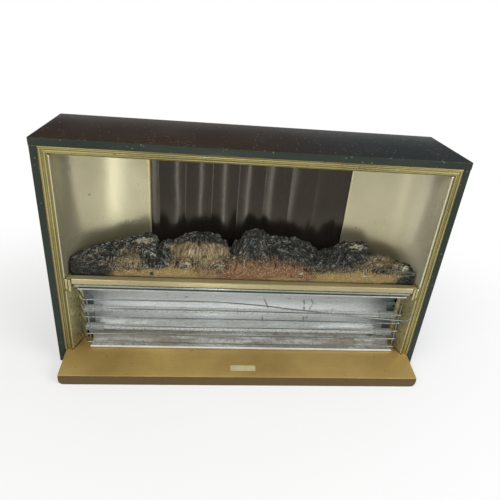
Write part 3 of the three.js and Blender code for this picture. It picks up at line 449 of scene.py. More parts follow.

# %% [markdown]
# ## Polished cheeks
#
# The two curved sheets beside the fire are the same aluminium, polished to a soft mirror
# in a pale champagne. Low down they are a little rougher and painted greyer, a painted
# reflection of the dark logs that they face. Along their outer edge, most on the right,
# they are painted paler as painted light. The left one's edge next to the screen is
# rubbed to a ragged yellow.

# %% Cheek finish
t = Finish("cheek_metal")
clouds = t.effect(clouds_group, Scale=6.0, Seed=31.0, Contrast=1.5)
lines = t.effect(lines_group, Stretch=(90.0, 90.0, 2.2), Strength=1.0)
marks = t.effect(stains_group, Scale=15.0, Cover=0.42, Speck_Scale=360.0)
spot = t.axes(t.place())
low, across = t.span(spot["Z"], 0.30, 0.19), t.size(spot["X"])
ragged = t.times(t.noise(t.place(), 210.0, 5.0, 0.75), 0.012)
reach = t.plus(ragged, t.times(t.span(spot["Z"], 0.33, 0.41), -0.003))
on_left = t.span(spot["X"], 0.0, -0.01)
near_edge = t.times(t.span(t.plus(across, reach), 0.1925, 0.1905), on_left)
# painted light: paler along the outer edges, most on the right
outer = t.times(t.span(across, 0.285, 0.315), t.span(spot["X"], -0.01, 0.01, 0.35, 1.0))
base = t.coats(
    t.tone(clouds["Clouds"], "a29b7c", "c0b999"),
    # painted reflection of the dark logs: greyer low down
    (low, "8a8668", 0.3),
    (marks["Stain"], "5f5838", 0.05),
    (marks["Specks"], "e0dcc8", 0.1),
    (near_edge, "cdb963", t.span(spot["Z"], 0.33, 0.38, 0.3, 1.0)),
    # painted light along the outer edge
    (outer, "ded9c0", 0.6),
)
gloss = t.plus(t.span(clouds["Clouds"], 0.2, 0.8, 0.24, 0.32), t.times(near_edge, 0.2))
t.set(Base_Color=base, Metallic=t.span(outer, 0.0, 1.0, 0.74, 0.45),
      Roughness=t.plus(gloss, t.times(low, 0.06)))
t.bump(lines["Lines"], 0.00003, 0.3)

# %% [markdown]
# ## The dark screen
#
# Behind the logs stands a dark bronze sheet, smooth and a little glossy, pressed into
# shallow upright flutes. The flutes catch the light as soft vertical bands. Low down it is
# painted lighter, a painted reflection of light from the bed below it.

# %% Screen finish
t = Finish("screen_bronze")
clouds = t.effect(clouds_group, Scale=8.0, Seed=41.0, Contrast=1.4)
marks = t.effect(stains_group, Scale=30.0, Cover=0.4, Speck_Scale=380.0)
base = t.coats(
    t.tone(clouds["Clouds"], "2d2821", "3d372e"),
    (marks["Specks"], "8b8271", 0.4),
    # painted reflection: lighter low down, for light from the bed below
    (t.span(t.axes(t.place())["Z"], 0.32, 0.22, 0.0, 0.5), "4e4942"),
)
t.set(Base_Color=base, Metallic=t.span(clouds["Clouds"], 0.0, 1.0, 0.7, 0.84),
      Roughness=t.span(clouds["Clouds"], 0.2, 0.8, 0.2, 0.27))
t.bump(clouds["Grain"], 0.00003, 0.2)

# %% [markdown]
# ## Mirror sheet
#
# The radiant reflector was a bright mirror. Heat has hazed it: cloudy patches of pale
# grey, brown strokes where something boiled off, and browner tones along its foot. A
# lighter band across its middle, most on the left, is painted light; a darker band under
# the hood is painted shade; its lower folded lip is painted near white as a highlight and
# its top lip is painted darker as shade. What its surface shows depends on height, so the
# masks are mostly bands of height.

# %% Reflector finish
t = Finish("hazed_mirror", Metallic=0.15)
clouds = t.effect(clouds_group, Scale=7.0, Seed=52.0, Contrast=1.8)
lines = t.effect(lines_group, Stretch=(2.0, 130.0, 130.0), Strength=1.0)
marks = t.effect(stains_group, Scale=26.0, Cover=0.42, Speck_Scale=330.0)
scorch = t.drawn("scorch")
spot = t.axes(t.place())
foot = t.span(spot["Z"], 0.075, 0.036)
folded_lip = t.span(spot["Y"], -0.0395, -0.0425)
low_lip_highlight = t.times(folded_lip, t.span(spot["Z"], 0.15, 0.1))
top_lip_shade = t.minus(folded_lip, low_lip_highlight)
shade_under_hood = t.minus(t.span(spot["Z"], 0.138, 0.158), folded_lip, clamp=True)
grit = t.noise(t.place(), 330.0, 4.0, 0.75)
drift = t.noise(t.stretched(t.place(), (9.0, 60.0, 60.0)), 1.0, 4.0, 0.65, 0.6)
mottle = t.span(t.noise(t.place(), 120.0, 5.0, 0.75, 0.4), 0.48, 0.6, 0.0, 0.6)
# painted light: a lighter band across the middle height, most on the left
painted_light_band = t.times(t.span(spot["Z"], 0.055, 0.08), t.span(spot["Z"], 0.146, 0.12))
painted_light_band = t.times(painted_light_band, t.span(spot["X"], 0.24, 0.0, 0.3, 1.0))
base = t.coats(
    t.tone(clouds["Clouds"], "c0c6c5", "eef3f3"),
    (t.span(drift, 0.4, 0.62, 0.0, 0.35), "a3aba8"),
    (t.span(grit, 0.5, 0.66, 0.0, 0.35), "90948e"),
    (painted_light_band, "f4f9fa", 0.5),
    (t.span(grit, 0.44, 0.34, 0.0, 0.5), "f2f5f4"),
    (foot, "8b8473", t.span(drift, 0.35, 0.6, 0.35, 0.9)),
    (foot, "6f6a5c", mottle),
    # painted shade under the hood
    (shade_under_hood, "7d8480", 0.45),
    (marks["Stain"], "857866", 0.45),
    (marks["Specks"], "5b5044", 0.6),
    (scorch, "5b4a38", 0.85),
    # painted highlight on the lower folded lip and painted shade on the top lip
    (low_lip_highlight, "f3f3ec", 0.6),
    (top_lip_shade, "8f9289", 0.6),
)
gloss = t.plus(t.span(drift, 0.3, 0.7, 0.16, 0.34), t.times(foot, 0.12))
t.set(Base_Color=base, Roughness=t.plus(gloss, t.times(scorch, 0.3), clamp=True))
t.bump(t.plus(lines["Lines"], grit), 0.0003, 0.3)

# %% [markdown]
# ## Wires, ceramics, plastics and hidden steel
#
# The rest are small areas or hidden ones. Each still varies in tone and gloss, so that it
# holds up close to the camera and from behind.

# %% Simple finish family
def plain_finish(name, dark, light, metal, rough, bump, seed, edge=None, dust_amount=0.4,
                 **fixed):
    t = Finish(name, Metallic=metal, **fixed)
    clouds = t.effect(clouds_group, Scale=14.0, Seed=seed, Contrast=1.6)
    worn = t.effect(edges_group, Radius=0.0006, Amount=0.5, Breakup=160.0)
    dust = t.effect(dust_group, Amount=dust_amount, Scale=130.0)
    base = t.coats(
        t.tone(clouds["Clouds"], dark, light),
        (t.span(clouds["Grain"], 0.35, 0.75, 0.0, 0.25), dark),
        (worn["Wear"], edge or light),
        (dust["Dust"], "958d7d"),
    )
    gloss = t.span(clouds["Grain"], 0.2, 0.8, *rough)
    t.set(Base_Color=base, Roughness=t.plus(gloss, t.times(dust["Dust"], 0.35), clamp=True))
    t.bump(clouds["Grain"], bump, 0.5, worn["Rounded"])


# Name, dark and light tone, metal, range of roughness, height of bump, seed.
for row in [
    ("guard_chrome", "666c6a", "a3a8a5", 0.92, (0.14, 0.26), 0.00008, 1.0),
    ("zinc_sheet", "7a7e7b", "a4a8a5", 0.8, (0.38, 0.55), 0.0001, 2.0),
    ("dark_steel", "525a5a", "7f8887", 0.55, (0.32, 0.48), 0.0001, 4.0, "b5b9b6"),
    ("hood_mirror", "7d8279", "aeb2a9", 0.85, (0.2, 0.3), 0.00002, 5.0),
    ("coil_wire", "3f3733", "6b5d54", 0.7, (0.5, 0.7), 0.0001, 7.0),
    ("ceramic", "747a75", "a3aaa4", 0.0, (0.3, 0.5), 0.0002, 9.0),
    ("steel_pin", "8f9190", "b9bbb9", 1.0, (0.25, 0.4), 0.0001, 10.0),
    ("bare_aluminium", "a5a8a9", "cfd2d3", 0.95, (0.25, 0.42), 0.0001, 11.0),
    ("bakelite", "1f1713", "3a2d25", 0.0, (0.25, 0.4), 0.0001, 12.0),
    ("black_rubber", "161615", "2a2a28", 0.0, (0.75, 0.92), 0.0004, 13.0),
    ("black_plastic", "141414", "262626", 0.0, (0.3, 0.45), 0.0002, 15.0),
    ("red_plastic", "6c170f", "8f2a1e", 0.0, (0.25, 0.4), 0.0001, 16.0),
    ("softwood", "8d6b3f", "b99462", 0.0, (0.6, 0.8), 0.0005, 17.0),
    ("plate_cream", "b8ad7d", "d8d0a6", 0.3, (0.35, 0.5), 0.00008, 18.0, "8f8250", 0.2),
]:
    plain_finish(*row)
plain_finish("silica_tube", "c9cdca", "eceeec", 0.0, (0.22, 0.36), 0.00003, 6.0,
             Transmission_Weight=0.45, IOR=1.2)
plain_finish("bulb_glass", "a8331b", "d0512f", 0.0, (0.08, 0.16), 0.00005, 19.0,
             Coat_Weight=0.6, Coat_Roughness=0.05)

# %% [markdown]
# ## Smooth shading for the sheets of the frame
#
# A node of the frame is a set of loose triangles with flat normals. Welded and split again
# only at real corners, a rolled hem or a bent sheet shades as one smooth curve, while the
# mesh itself stays as it was packed.

# %% Give nodes of the frame their finish and their smooth bends
CORNER = math.radians(32.0)
WELD_WITHIN = 0.00001


def dress(node_name, finish_name):
    node = nodes[node_name]
    mesh = node.data
    if "custom_normal" in mesh.attributes:
        mesh.attributes.remove(mesh.attributes["custom_normal"])
    mesh.materials.clear()
    mesh.materials.append(MATERIALS[finish_name])
    mesh.polygons.foreach_set("use_smooth", [True] * len(mesh.polygons))
    node.modifiers.new("weld", "WELD").merge_threshold = WELD_WITHIN
    node.modifiers.new("corners", "EDGE_SPLIT").split_angle = CORNER


# A star stands for left and right.
DRESSED = {
    "dark_lacquer": "casing_top_board casing_*_board",
    "softwood": "back_batten_*",
    "zinc_sheet": "back_panel chassis_base canopy_plate pivot_bracket_*",
    "black_rubber": "foot_front_* foot_back_* cable_bush",
    "surround_gold": "trim_top trim_*",
    "tray_gold": "hearth_tray",
    "plate_cream": "tray_plate",
    "cheek_metal": "cheek_*",
    "screen_bronze": "flame_screen",
    "bakelite": "fuel_bed lamp_holder_*",
    "shelf_gold": "fuel_bed_shelf",
    "panel_gold": "shelf_bracket_* lower_side_*",
    "hood_mirror": "hood_strip",
    "hazed_mirror": "reflector",
    "dark_steel": "end_plate_*",
    "silica_tube": "element_tube_upper element_tube_lower",
    "coil_wire": "element_coil_upper element_coil_lower",
    "ceramic": "end_cap_upper_* end_cap_lower_* terminal_block",
    "guard_chrome": "guard guard_loose_wire",
    "bare_aluminium": "lamp_cap_* spinner_*",
    "bulb_glass": "lamp_bulb_*",
    "steel_pin": "pivot_needle_*",
    "black_plastic": "switch_housing",
    "red_plastic": "rocker_upper rocker_lower",
}
dressed = 0
for finish_name, names in DRESSED.items():
    for name in names.split():
        for side in ("left", "right") if "*" in name else ("",):
            dress(name.replace("*", side), finish_name)
            dressed += 1
print("dressed", dressed, "of", len(nodes), "nodes")

# %% [markdown]
# ## Making a piece
#
# Mesh code works with plain lists of points and faces. One helper turns them into an
# object that sits at the origin with its place in its mesh, gives it its finish, says
# which body it moves with, and hides the solids of the frame that it stands for.

# %% Piece helpers
def finish_piece(name, mesh, finish_name, body="heater", replaces=(), smooth=True):
    mesh.materials.clear()
    mesh.materials.append(MATERIALS[finish_name])
    mesh.polygons.foreach_set("use_smooth", [smooth] * len(mesh.polygons))
    piece = bpy.data.objects.new(name, mesh)
    scene.collection.objects.link(piece)
    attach(piece, body)
    if replaces:
        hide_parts(*replaces)
    print(name, "faces", len(mesh.polygons))
    return piece


def new_mesh(name, points, faces=()):
    mesh = bpy.data.meshes.new(name)
    mesh.from_pydata([tuple(p) for p in placed(points)], [], list(faces))
    mesh.update()
    return mesh


def store(mesh, label, values, kind="FLOAT"):
    """Keeps numbers or vectors for a mesh's points; those past the list keep zero."""
    key, width = ("vector", 3) if kind == "FLOAT_VECTOR" else ("value", 1)
    kept = np.zeros(len(mesh.vertices) * width, np.float32)
    kept[:np.size(values)] = np.ravel(values)
    mesh.attributes.new(label, kind, "POINT").data.foreach_set(key, kept)


def face_outward(mesh):
    """Merges doubles and turns all faces of a closed mesh outward."""
    work = bmesh.new()
    work.from_mesh(mesh)
    bmesh.ops.remove_doubles(work, verts=work.verts, dist=WELD_WITHIN)
    bmesh.ops.recalc_face_normals(work, faces=work.faces)
    work.to_mesh(mesh)
    work.free()


# %% Grids and sheets
def grid_faces(lines, points, first=0, turned=False):
    """Faces between neighbours in a grid of several lines of points."""
    faces = []
    for i in range(lines - 1):
        for k in range(points - 1):
            a = first + i * points + k
            ring = (a + 1, a + points + 1, a + points)
            faces.append((a, *ring[::-1]) if turned else (a, *ring))
    return faces


def grid_rim(lines, points):
    """The outer points of such a grid, in order round it."""
    last_line, last = (lines - 1) * points, points - 1
    return [*range(0, last_line, points), *range(last_line, last_line + last),
            *range(last_line + last, last, -points), *range(last, 0, -1)]


def thicken(piece, thickness, even):
    """A wall of that many millimetres, half of it on each side."""
    wall = piece.modifiers.new("thickness", "SOLIDIFY")
    wall.thickness, wall.offset, wall.use_even_offset = thickness * MM, 0.0, even


def sheet_piece(name, grid, thickness, finish_name, replaces=()):
    """A sheet whose middle surface is a grid of points."""
    mesh = new_mesh(name, grid.reshape(-1, 3), grid_faces(*grid.shape[:2]))
    piece = finish_piece(name, mesh, finish_name, replaces=replaces)
    thicken(piece, thickness, True)
    return piece


def bezier(points, steps):
    """Points along a cubic curve, as many as steps plus one."""
    a, b, c, d = (np.asarray(p, float) for p in points)
    t = np.linspace(0, 1, steps + 1)[:, None]
    return a * (1 - t) ** 3 + 3 * b * t * (1 - t) ** 2 + 3 * c * t * t * (1 - t) + d * t ** 3


# %% [markdown]
# ## Noise in mesh code
#
# The logs are real relief, not only bump, so their shape needs noise in Python too:
# a soft one for lumps, a layered one for bark, and a cell one whose borders are the
# cracks of charred wood.

# %% Noise for shapes
def scatter(i, j, seed=0.0):
    s = np.sin(i * 127.1 + j * 311.7 + seed * 74.7) * 43758.5453
    return s - np.floor(s)


def ease(value, low, high):
    share = np.clip((value - low) / (high - low), 0, 1)
    return share * share * (3 - 2 * share)


def soft_noise(x, y, seed=0.0):
    i, j = np.floor(x), np.floor(y)
    u, v = x - i, y - j
    u, v = u * u * (3 - 2 * u), v * v * (3 - 2 * v)
    low = scatter(i, j, seed) * (1 - u) + scatter(i + 1, j, seed) * u
    high = scatter(i, j + 1, seed) * (1 - u) + scatter(i + 1, j + 1, seed) * u
    return low * (1 - v) + high * v


def layered(x, y, seed=0.0, layers=4):
    """Soft noise in finer and finer layers, about 0.5 on average."""
    total, weight, share = 0.0, 0.0, 1.0
    for k in range(layers):
        total = total + share * soft_noise(x * 2 ** k, y * 2 ** k, seed + 3.7 * k)
        weight += share
        share *= 0.55
    return total / weight


def cells(x, y, seed=0.0):
    """Distance to the nearest cell centre, to the border, and a number for each cell."""
    i, j = np.floor(x), np.floor(y)
    first, second = np.full((2, *np.shape(x)), 9.0)
    number = np.zeros(np.shape(x))
    for di in (-1, 0, 1):
        for dj in (-1, 0, 1):
            ci, cj = i + di, j + dj
            px = ci + scatter(ci, cj, seed + 11)
            py = cj + scatter(ci, cj, seed + 23)
            distance = np.hypot(x - px, y - py)
            nearer = distance < first
            second = np.where(nearer, first, np.minimum(second, distance))
            number = np.where(nearer, scatter(ci, cj, seed + 37), number)
            first = np.where(nearer, distance, first)
    return first, second - first, number


def from_stroke(x, y, x0, y0, x1, y1):
    """How far each point lies from a straight stroke."""
    run = np.array([x1 - x0, y1 - y0], float)
    share = np.clip(((x - x0) * run[0] + (y - y0) * run[1]) / run.dot(run), 0, 1)
    return np.hypot(x - x0 - share * run[0], y - y0 - share * run[1])


# %% [markdown]
# ## The moulded logs
#
# The fuel bed is one thin moulding: a low smooth wall in front, amber and ember-red as if
# lit from within, and charred logs and coals piled behind it. Its crest, its wall and its
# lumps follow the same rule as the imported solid, and the bark, cracks and coals are laid
# over them, a few millimetres deep. A heap seen from above has no overhangs, so a height
# over each point of the plan is enough, with real rows of faces down the front wall.

# %% Where the bed lies and how high it stands
BED_FRONT, BED_HALF, BED_BASE = 13.0, 314.0, 188.3
SCREEN_HALF, BED_GAP, SCREEN_FACE = 183, 3, 91.8
WALL_MIDDLE, WALL_RISE = 15, 13
# How much of each there is in the relief, in millimetres.
LUMPS, PEBBLES, BARK, CRACKS, FACETS, COALS, GRIT = 5, 3, 7.0, 2.2, 2.4, 3.8, 2.0
CREST = [
    (-314, 34), (-291, 45), (-262, 52), (-238, 59), (-210, 62), (-186, 68), (-172, 66), (-164, 52),
    (-140, 56), (-116, 70), (-100, 75), (-66, 76), (-44, 70), (-34, 52), (-22, 60), (-5, 79),
    (24, 78), (36, 70), (50, 68), (84, 67), (112, 61), (135, 49), (152, 58), (170, 64),
    (221, 64), (236, 52), (262, 46), (290, 42), (314, 32),
]
# Middle x and y, half length, half width, turn in degrees, rise.
LOGS = [
    (-262, 40, 52, 13, 16, 10), (-212, 52, 40, 13, 22, 10), (-188, 70, 24, 13, 4, 9),
    (-172, 34, 44, 14, -24, 12), (-150, 58, 34, 13, 34, 9), (-96, 60, 46, 15, -4, 8),
    (-112, 36, 22, 11, 52, 8), (-74, 40, 24, 11, -48, 8), (-116, 20, 12, 8, 10, 7),
    (-58, 20, 15, 9, 8, 7), (-28, 42, 28, 13, 64, 10), (8, 56, 44, 18, 30, 14),
    (24, 34, 30, 12, -40, 8), (64, 60, 50, 16, 6, 11), (86, 38, 40, 12, -14, 9),
    (120, 56, 30, 13, -30, 9), (136, 28, 30, 10, 16, 7), (168, 44, 26, 12, 44, 9),
    (202, 60, 34, 15, 2, 12), (208, 34, 26, 11, -16, 8), (226, 24, 20, 8, 66, 7),
    (252, 40, 34, 12, 24, 9), (292, 26, 26, 11, 26, 8), (-286, 22, 30, 9, -4, 6),
]
cheek_line = bezier([(322.9, 1.6), (320.9, 50), (276, 87), (183, 92.6)], 200)


def bed_back(x):
    """Depth at which the bed meets the cheek or the screen."""
    edge = np.abs(x) + BED_GAP
    order = np.argsort(cheek_line[:, 0])
    on_cheek = np.interp(edge, cheek_line[order, 0], cheek_line[order, 1]) - 2.5
    return np.where(edge < SCREEN_HALF, SCREEN_FACE, np.minimum(SCREEN_FACE, on_cheek))


def crest_height(x):
    places, heights = np.array(CREST, float).T
    k = np.clip(np.searchsorted(places, x), 1, len(places) - 1)
    share = ease(x, places[k - 1], places[k])
    return heights[k - 1] * (1 - share) + heights[k] * share


def bed_relief(x, y):
    """Height over the shelf and the way the grain runs, at points of the plan."""
    depth = y - BED_FRONT
    wall = WALL_MIDDLE + WALL_RISE * ease(np.abs(x), 246, 262)
    rising, falling = ease(depth, -6, 40), 1 - 0.35 * ease(depth, 48, 78)
    body = (wall * (1 - rising) + (crest_height(x) - 14) * rising) * falling
    lump, owner = np.zeros_like(x), np.full(x.shape, -1)
    along, across = y * 0.6 + 40, x.copy()
    for number, (cx, cy, length, width, degrees, rise) in enumerate(LOGS):
        turn = math.radians(degrees)
        a = (x - cx) * math.cos(turn) + (y - cy) * math.sin(turn)
        b = -(x - cx) * math.sin(turn) + (y - cy) * math.cos(turn)
        ragged = 1 + 0.35 * (layered(a / 9, b / 9, number) - 0.5)
        inside = 1 - (a / length * ragged) ** 4 - (b / width * ragged) ** 2
        height = rise * np.sqrt(np.clip(inside, 0, None)) * 1.12
        mine = height > lump
        lump = np.where(mine, height, lump)
        owner = np.where(mine, number, owner)
        along, across = np.where(mine, a + 150 * number, along), np.where(mine, b, across)
    rough = LUMPS * (soft_noise(x / 11, y / 9) - 0.5)
    rough = rough + PEBBLES * (soft_noise(x / 5, y / 5) - 0.5)
    wood = (owner >= 0).astype(float)
    bark = layered(along / 15, across / 2.9, owner + 5.0, 4)
    _, border, facet = cells(along / 13, across / 7, owner + 2.0)
    cracks = 1 - ease(border, 0.0, 0.2)
    near, _, _ = cells(x / 8.5 + 0.4 * bark, y / 7.0, 61.0)
    coals = np.sqrt(np.clip(1 - near ** 2 * 1.5, 0, 1))
    chipped = BARK * (bark - 0.5) - CRACKS * cracks + FACETS * (facet - 0.5)
    detail = wood * chipped + (1 - wood) * (COALS * coals - 2.2)
    detail = detail + GRIT * (layered(x / 2.9, y / 2.9, 71.0, 3) - 0.5)
    height = np.maximum(6, body + ease(depth, 0, 8) * (lump + rough + detail))
    return height, along, across


# %% [markdown]
# ## How the logs are painted
#
# The moulding is black, and the rest was sprayed and dry-brushed on by hand: an amber band
# along the foot, ember red in the middle, a brown hump, and whitish strokes over what
# stands high. A sprayed edge has no line, only fewer and fewer dots, so each patch of
# paint is a soft mask here, and the material breaks it up. Patches are given by their
# distance along the bed and by their lift, which is height and half of the depth together:
# that is how high they look from where one stands.

# %% Patches of paint, and strokes of the dry brush
COLOURS = ("amber", "ember", "umber", "pale")
LIFT_BY_DEPTH = 0.51
# Colour, middle x and lift, reach along x and lift, and how full the patch is.
PATCHES = [
    ("umber", -208, 44, 30, 17, 0.45), ("umber", -196, 24, 60, 13, 0.5),
    ("umber", 232, 30, 62, 14, 0.4), ("ember", 30, 34, 74, 17, 0.45),
    ("amber", 17, 5, 266, 14, 1.0), ("amber", -104, 20, 62, 15, 0.95),
    ("umber", -94, 50, 54, 24, 1.0), ("amber", -112, 34, 24, 12, 0.5),
    ("amber", 204, 12, 78, 14, 0.95), ("amber", 214, 27, 20, 14, 0.7),
    ("ember", 24, 18, 72, 26, 1.0), ("ember", 90, 16, 36, 16, 0.6),
    ("amber", 66, 3, 36, 8, 0.75), ("ember", -70, 16, 34, 14, 0.4),
    ("umber", 258, 50, 36, 11, 0.6), ("umber", 150, 30, 40, 10, 0.3),
    ("coal", -168, 42, 27, 19, 0.9), ("coal", -174, 8, 3.5, 3, 1.0), ("coal", 172, 44, 22, 12, 1.0),
    ("coal", 298, 7, 17, 9, 1.0), ("coal", -284, 12, 37, 16, 1.0), ("coal", -74, 86, 40, 11, 1.0),
    ("pale", -189, 74, 18, 6, 0.55), ("pale", -116, 27, 10, 7, 0.35),
    ("pale", -57, 27, 14, 8, 0.25), ("pale", 205, 77, 18, 5, 0.4),
    ("pale", 297, 32, 18, 11, 0.3), ("pale", 217, 23, 4, 10, 0.45),
    ("pale", 97, 18, 3.5, 3, 0.5), ("pale", -92, 46, 7, 12, 0.2),
]
# Colour, both ends as x and lift, and half width.
STROKES = [
    ("pale", -214, 29, -196, 43, 0.9), ("pale", -196, 43, -170, 62, 1.1),
    ("pale", -13, 36, 13, 64, 0.9), ("pale", 9, 48, 25, 58, 0.8),
    ("pale", -30, 44, -14, 60, 0.8), ("pale", 232, 58, 268, 44, 0.9),
    ("pale", 268, 44, 300, 34, 0.9), ("umber", -300, 34, -236, 62, 1.2),
    ("coal", 230, 43, 218, 20, 1.4),
]


def paint_masks(x, lift):
    """How much amber, ember, umber and pale paint lies at each point; the rest is bare."""
    ragged = layered(x / 9, lift / 9, 101.0, 4) - 0.5
    masks = {colour: np.zeros_like(x) for colour in COLOURS}

    def lay(colour, share):
        for other in masks:
            masks[other] = masks[other] * (1 - share)
        if colour in masks:
            masks[colour] = masks[colour] + share

    for colour, cx, cl, reach_x, reach_lift, full in PATCHES:
        far = np.abs((x - cx) / reach_x) ** 3 + np.abs((lift - cl) / reach_lift) ** 2.4
        lay(colour, full * ease(far + 2.0 * ragged, 2.3, -0.1))
    worn_off = ease(layered(x / 5, lift / 5, 119.0, 2), 0.38, 0.52)
    for colour, *ends, half in STROKES:
        away = from_stroke(x, lift, *ends) + 3.0 * ragged
        lay(colour, 0.6 * worn_off * ease(away, half * 1.4, half * 0.3))
    masks["ember"] *= 1 - 0.5 * ease(lift, 12, 44)
    masks["amber"] *= 1 - 0.35 * ease(lift, 9, 26)
    return masks


# %% Log skin finish
t = Finish("log_skin", Specular_IOR_Level=0.12)
paint = {name: t.drawn(name) for name in ("amber", "ember", "umber", "pale", "high", "hollow_shade")}
run = t.drawn("grain", "Vector")
fine = t.noise(t.place(), 620.0, 3.0, 0.72)
coarse = t.noise(t.place(), 110.0, 5.0, 0.65)
fibre = t.noise(t.stretched(run, (75.0, 420.0, 75.0)), 1.0, 4.0, 0.7, 0.5)
wisp = t.noise(t.stretched(run, (26.0, 115.0, 26.0)), 1.0, 5.0, 0.72, 0.9)
wisp = t.size(t.minus(wisp, 0.5))


def sprayed(mask, grain, softness):
    """A soft mask broken into dots and fibres, fewer of them where the mask is thin."""
    broken = t.math("MULTIPLY_ADD", t.minus(grain, 0.5), softness * 3, mask)
    return t.span(broken, 0.15, 0.85)


brushed = t.times(t.span(wisp, 0.02, 0.003), t.span(paint["high"], -0.5, 0.7, 0.12, 1.0))
brushed = t.times(brushed, t.span(coarse, 0.36, 0.6, 0.15, 1.0))
flecks = t.times(t.span(fine, 0.57, 0.68), t.span(coarse, 0.45, 0.6))
coal = t.coats(
    t.tone(coarse, "0a0e0f", "202828"),
    (t.span(fibre, 0.52, 0.68, 0.0, 0.3), "4b504f"),
    (flecks, "7b7f7c", 0.42),
    (brushed, "adada2", 0.9),
)
umber = t.coats(
    t.tone(coarse, "463b2d", "857455"),
    (t.span(fibre, 0.5, 0.66, 0.0, 0.5), "b8a783"),
    (t.span(fine, 0.52, 0.64, 0.0, 0.6), "c0ae88"),
    (t.span(fibre, 0.47, 0.36, 0.0, 0.6), "2f2a24"),
)
amber = t.coats(
    t.tone(coarse, "6c5b3a", "988355"),
    (t.span(fine, 0.52, 0.66, 0.0, 0.6), "c3ae7d"),
    (t.span(fine, 0.45, 0.34, 0.0, 0.6), "54452e"),
)
ember = t.coats(
    t.tone(coarse, "423226", "806045"),
    (t.span(fine, 0.52, 0.64, 0.0, 0.7), "c79d6c"),
    (t.span(fine, 0.48, 0.36, 0.0, 0.85), "2c2724"),
)
skin = t.mix(sprayed(paint["umber"], fine, 0.7), coal, umber)
skin = t.mix(sprayed(paint["amber"], fine, 0.7), skin, amber)
skin = t.mix(sprayed(paint["ember"], fine, 0.8), skin, ember)
skin = t.mix(sprayed(paint["pale"], fibre, 0.9), skin, t.tone(fine, "8d8a74", "d2ccb0"))
# the hollow mask darkens the skin as painted shade
t.set(Base_Color=t.coats(skin, (paint["hollow_shade"], "0d0c0b", 0.8)),
      Roughness=t.span(fine, 0.3, 0.8, 0.6, 0.9))
t.bump(t.plus(fine, t.times(fibre, 1.2)), 0.0010, 0.8)

# %% The upper face of the logs: a grid of heights with a steep wall in front
COLUMNS, ROWS, WALL_ROWS = 640, 104, 12
WALL_LEAN, WALL_RELIEF, BLUR_ROUNDS = 2.0, 2.2, 14
x_line = np.linspace(-BED_HALF, BED_HALF, COLUMNS + 1)
row_share = np.clip((np.arange(ROWS + 1) - WALL_ROWS) / (ROWS - WALL_ROWS), 0, 1)
x_grid = np.repeat(x_line[:, None], ROWS + 1, 1)
y_grid = BED_FRONT + WALL_LEAN + (bed_back(x_grid) - BED_FRONT - WALL_LEAN) * row_share[None, :]
heights, along_grid, across_grid = bed_relief(x_grid, y_grid)
wall_share = np.clip(np.arange(ROWS + 1) / WALL_ROWS, 0, 1)[None, :]
on_wall = wall_share < 1
inward = ease(BED_HALF - np.abs(x_grid), 0, 6)
wall_noise = layered(x_grid / 12, wall_share * 1.6 + 0 * x_grid, 111.0, 4) - 0.45
wall_relief = WALL_RELIEF * wall_noise * inward
y_wall = BED_FRONT + WALL_LEAN * wall_share ** 2.2 + wall_relief * np.sin(math.pi * wall_share)
y_grid = np.where(on_wall, np.maximum(BED_FRONT - 0.6, y_wall), y_grid)
z_grid = np.where(on_wall, heights * wall_share, heights)

# %% What the paint needs to know at each point
masks = paint_masks(x_grid, z_grid + LIFT_BY_DEPTH * (y_grid - BED_FRONT))
blurred = z_grid.copy()
for _ in range(BLUR_ROUNDS):
    padded = np.pad(blurred, 1, mode="edge")
    blurred = (padded[:-2, 1:-1] + padded[2:, 1:-1] + padded[1:-1, :-2] + padded[1:-1, 2:]) / 4
barer = ease(x_grid, -150, -20)
masks["high"] = np.clip((z_grid - blurred) / 1.6, -1, 1) - 1.0 * on_wall
masks["high"] = masks["high"] * (1 - 0.4 * barer) - 0.42 * barer + 0.08
# painted shade: points that lie below the blurred height are darkened
masks["hollow_shade"] = ease(blurred - z_grid, 0.4, 2.6)
along_grid = np.where(on_wall, x_grid, along_grid)
across_grid = np.where(on_wall, z_grid, across_grid)
grain_run = np.stack([along_grid, across_grid, 0 * x_grid], -1) * MM
print("share of coal:", round(float(np.mean(sum(masks[c] for c in COLOURS) < 0.5)), 2))

# %% The under face, on a coarser grid, and the two joined into one closed skin
COARSE, UNDER_INSET, SKIN = 8, 4, 7.5
low_columns, low_rows = COLUMNS // COARSE, ROWS // COARSE
low_half = BED_HALF - UNDER_INSET
under_x = np.linspace(-low_half, low_half, low_columns + 1)[:, None].repeat(low_rows + 1, 1)
under_y = BED_FRONT + UNDER_INSET + (
    bed_back(under_x) - BED_FRONT - 2 * UNDER_INSET) * np.linspace(0, 1, low_rows + 1)[None, :]
under_z = np.maximum(0.8, bed_relief(under_x, under_y)[0] - SKIN)
under_z[[0, -1], :] = 0
under_z[:, [0, -1]] = 0
top = np.stack([x_grid, y_grid, z_grid + BED_BASE], -1).reshape(-1, 3)
under = np.stack([under_x, under_y, under_z + BED_BASE], -1).reshape(-1, 3)
loop = grid_rim(COLUMNS + 1, ROWS + 1)
rim = top[loop]
rim[:, 2] = BED_BASE

first_rim, first_under, count = len(top), len(top) + len(rim), len(loop)
faces = grid_faces(COLUMNS + 1, ROWS + 1, turned=True)
faces += grid_faces(low_columns + 1, low_rows + 1, first_under)
faces += [(loop[k], first_rim + k, first_rim + (k + 1) % count, loop[(k + 1) % count])
          for k in range(count)]
low_loop = grid_rim(low_columns + 1, low_rows + 1)
for m in range(len(low_loop)):
    ends = [first_under + v for v in (low_loop[m], low_loop[(m + 1) % len(low_loop)])]
    outer = [first_rim + (m * COARSE + s) % count for s in range(COARSE + 1)]
    faces.append((*outer[::-1], *ends))

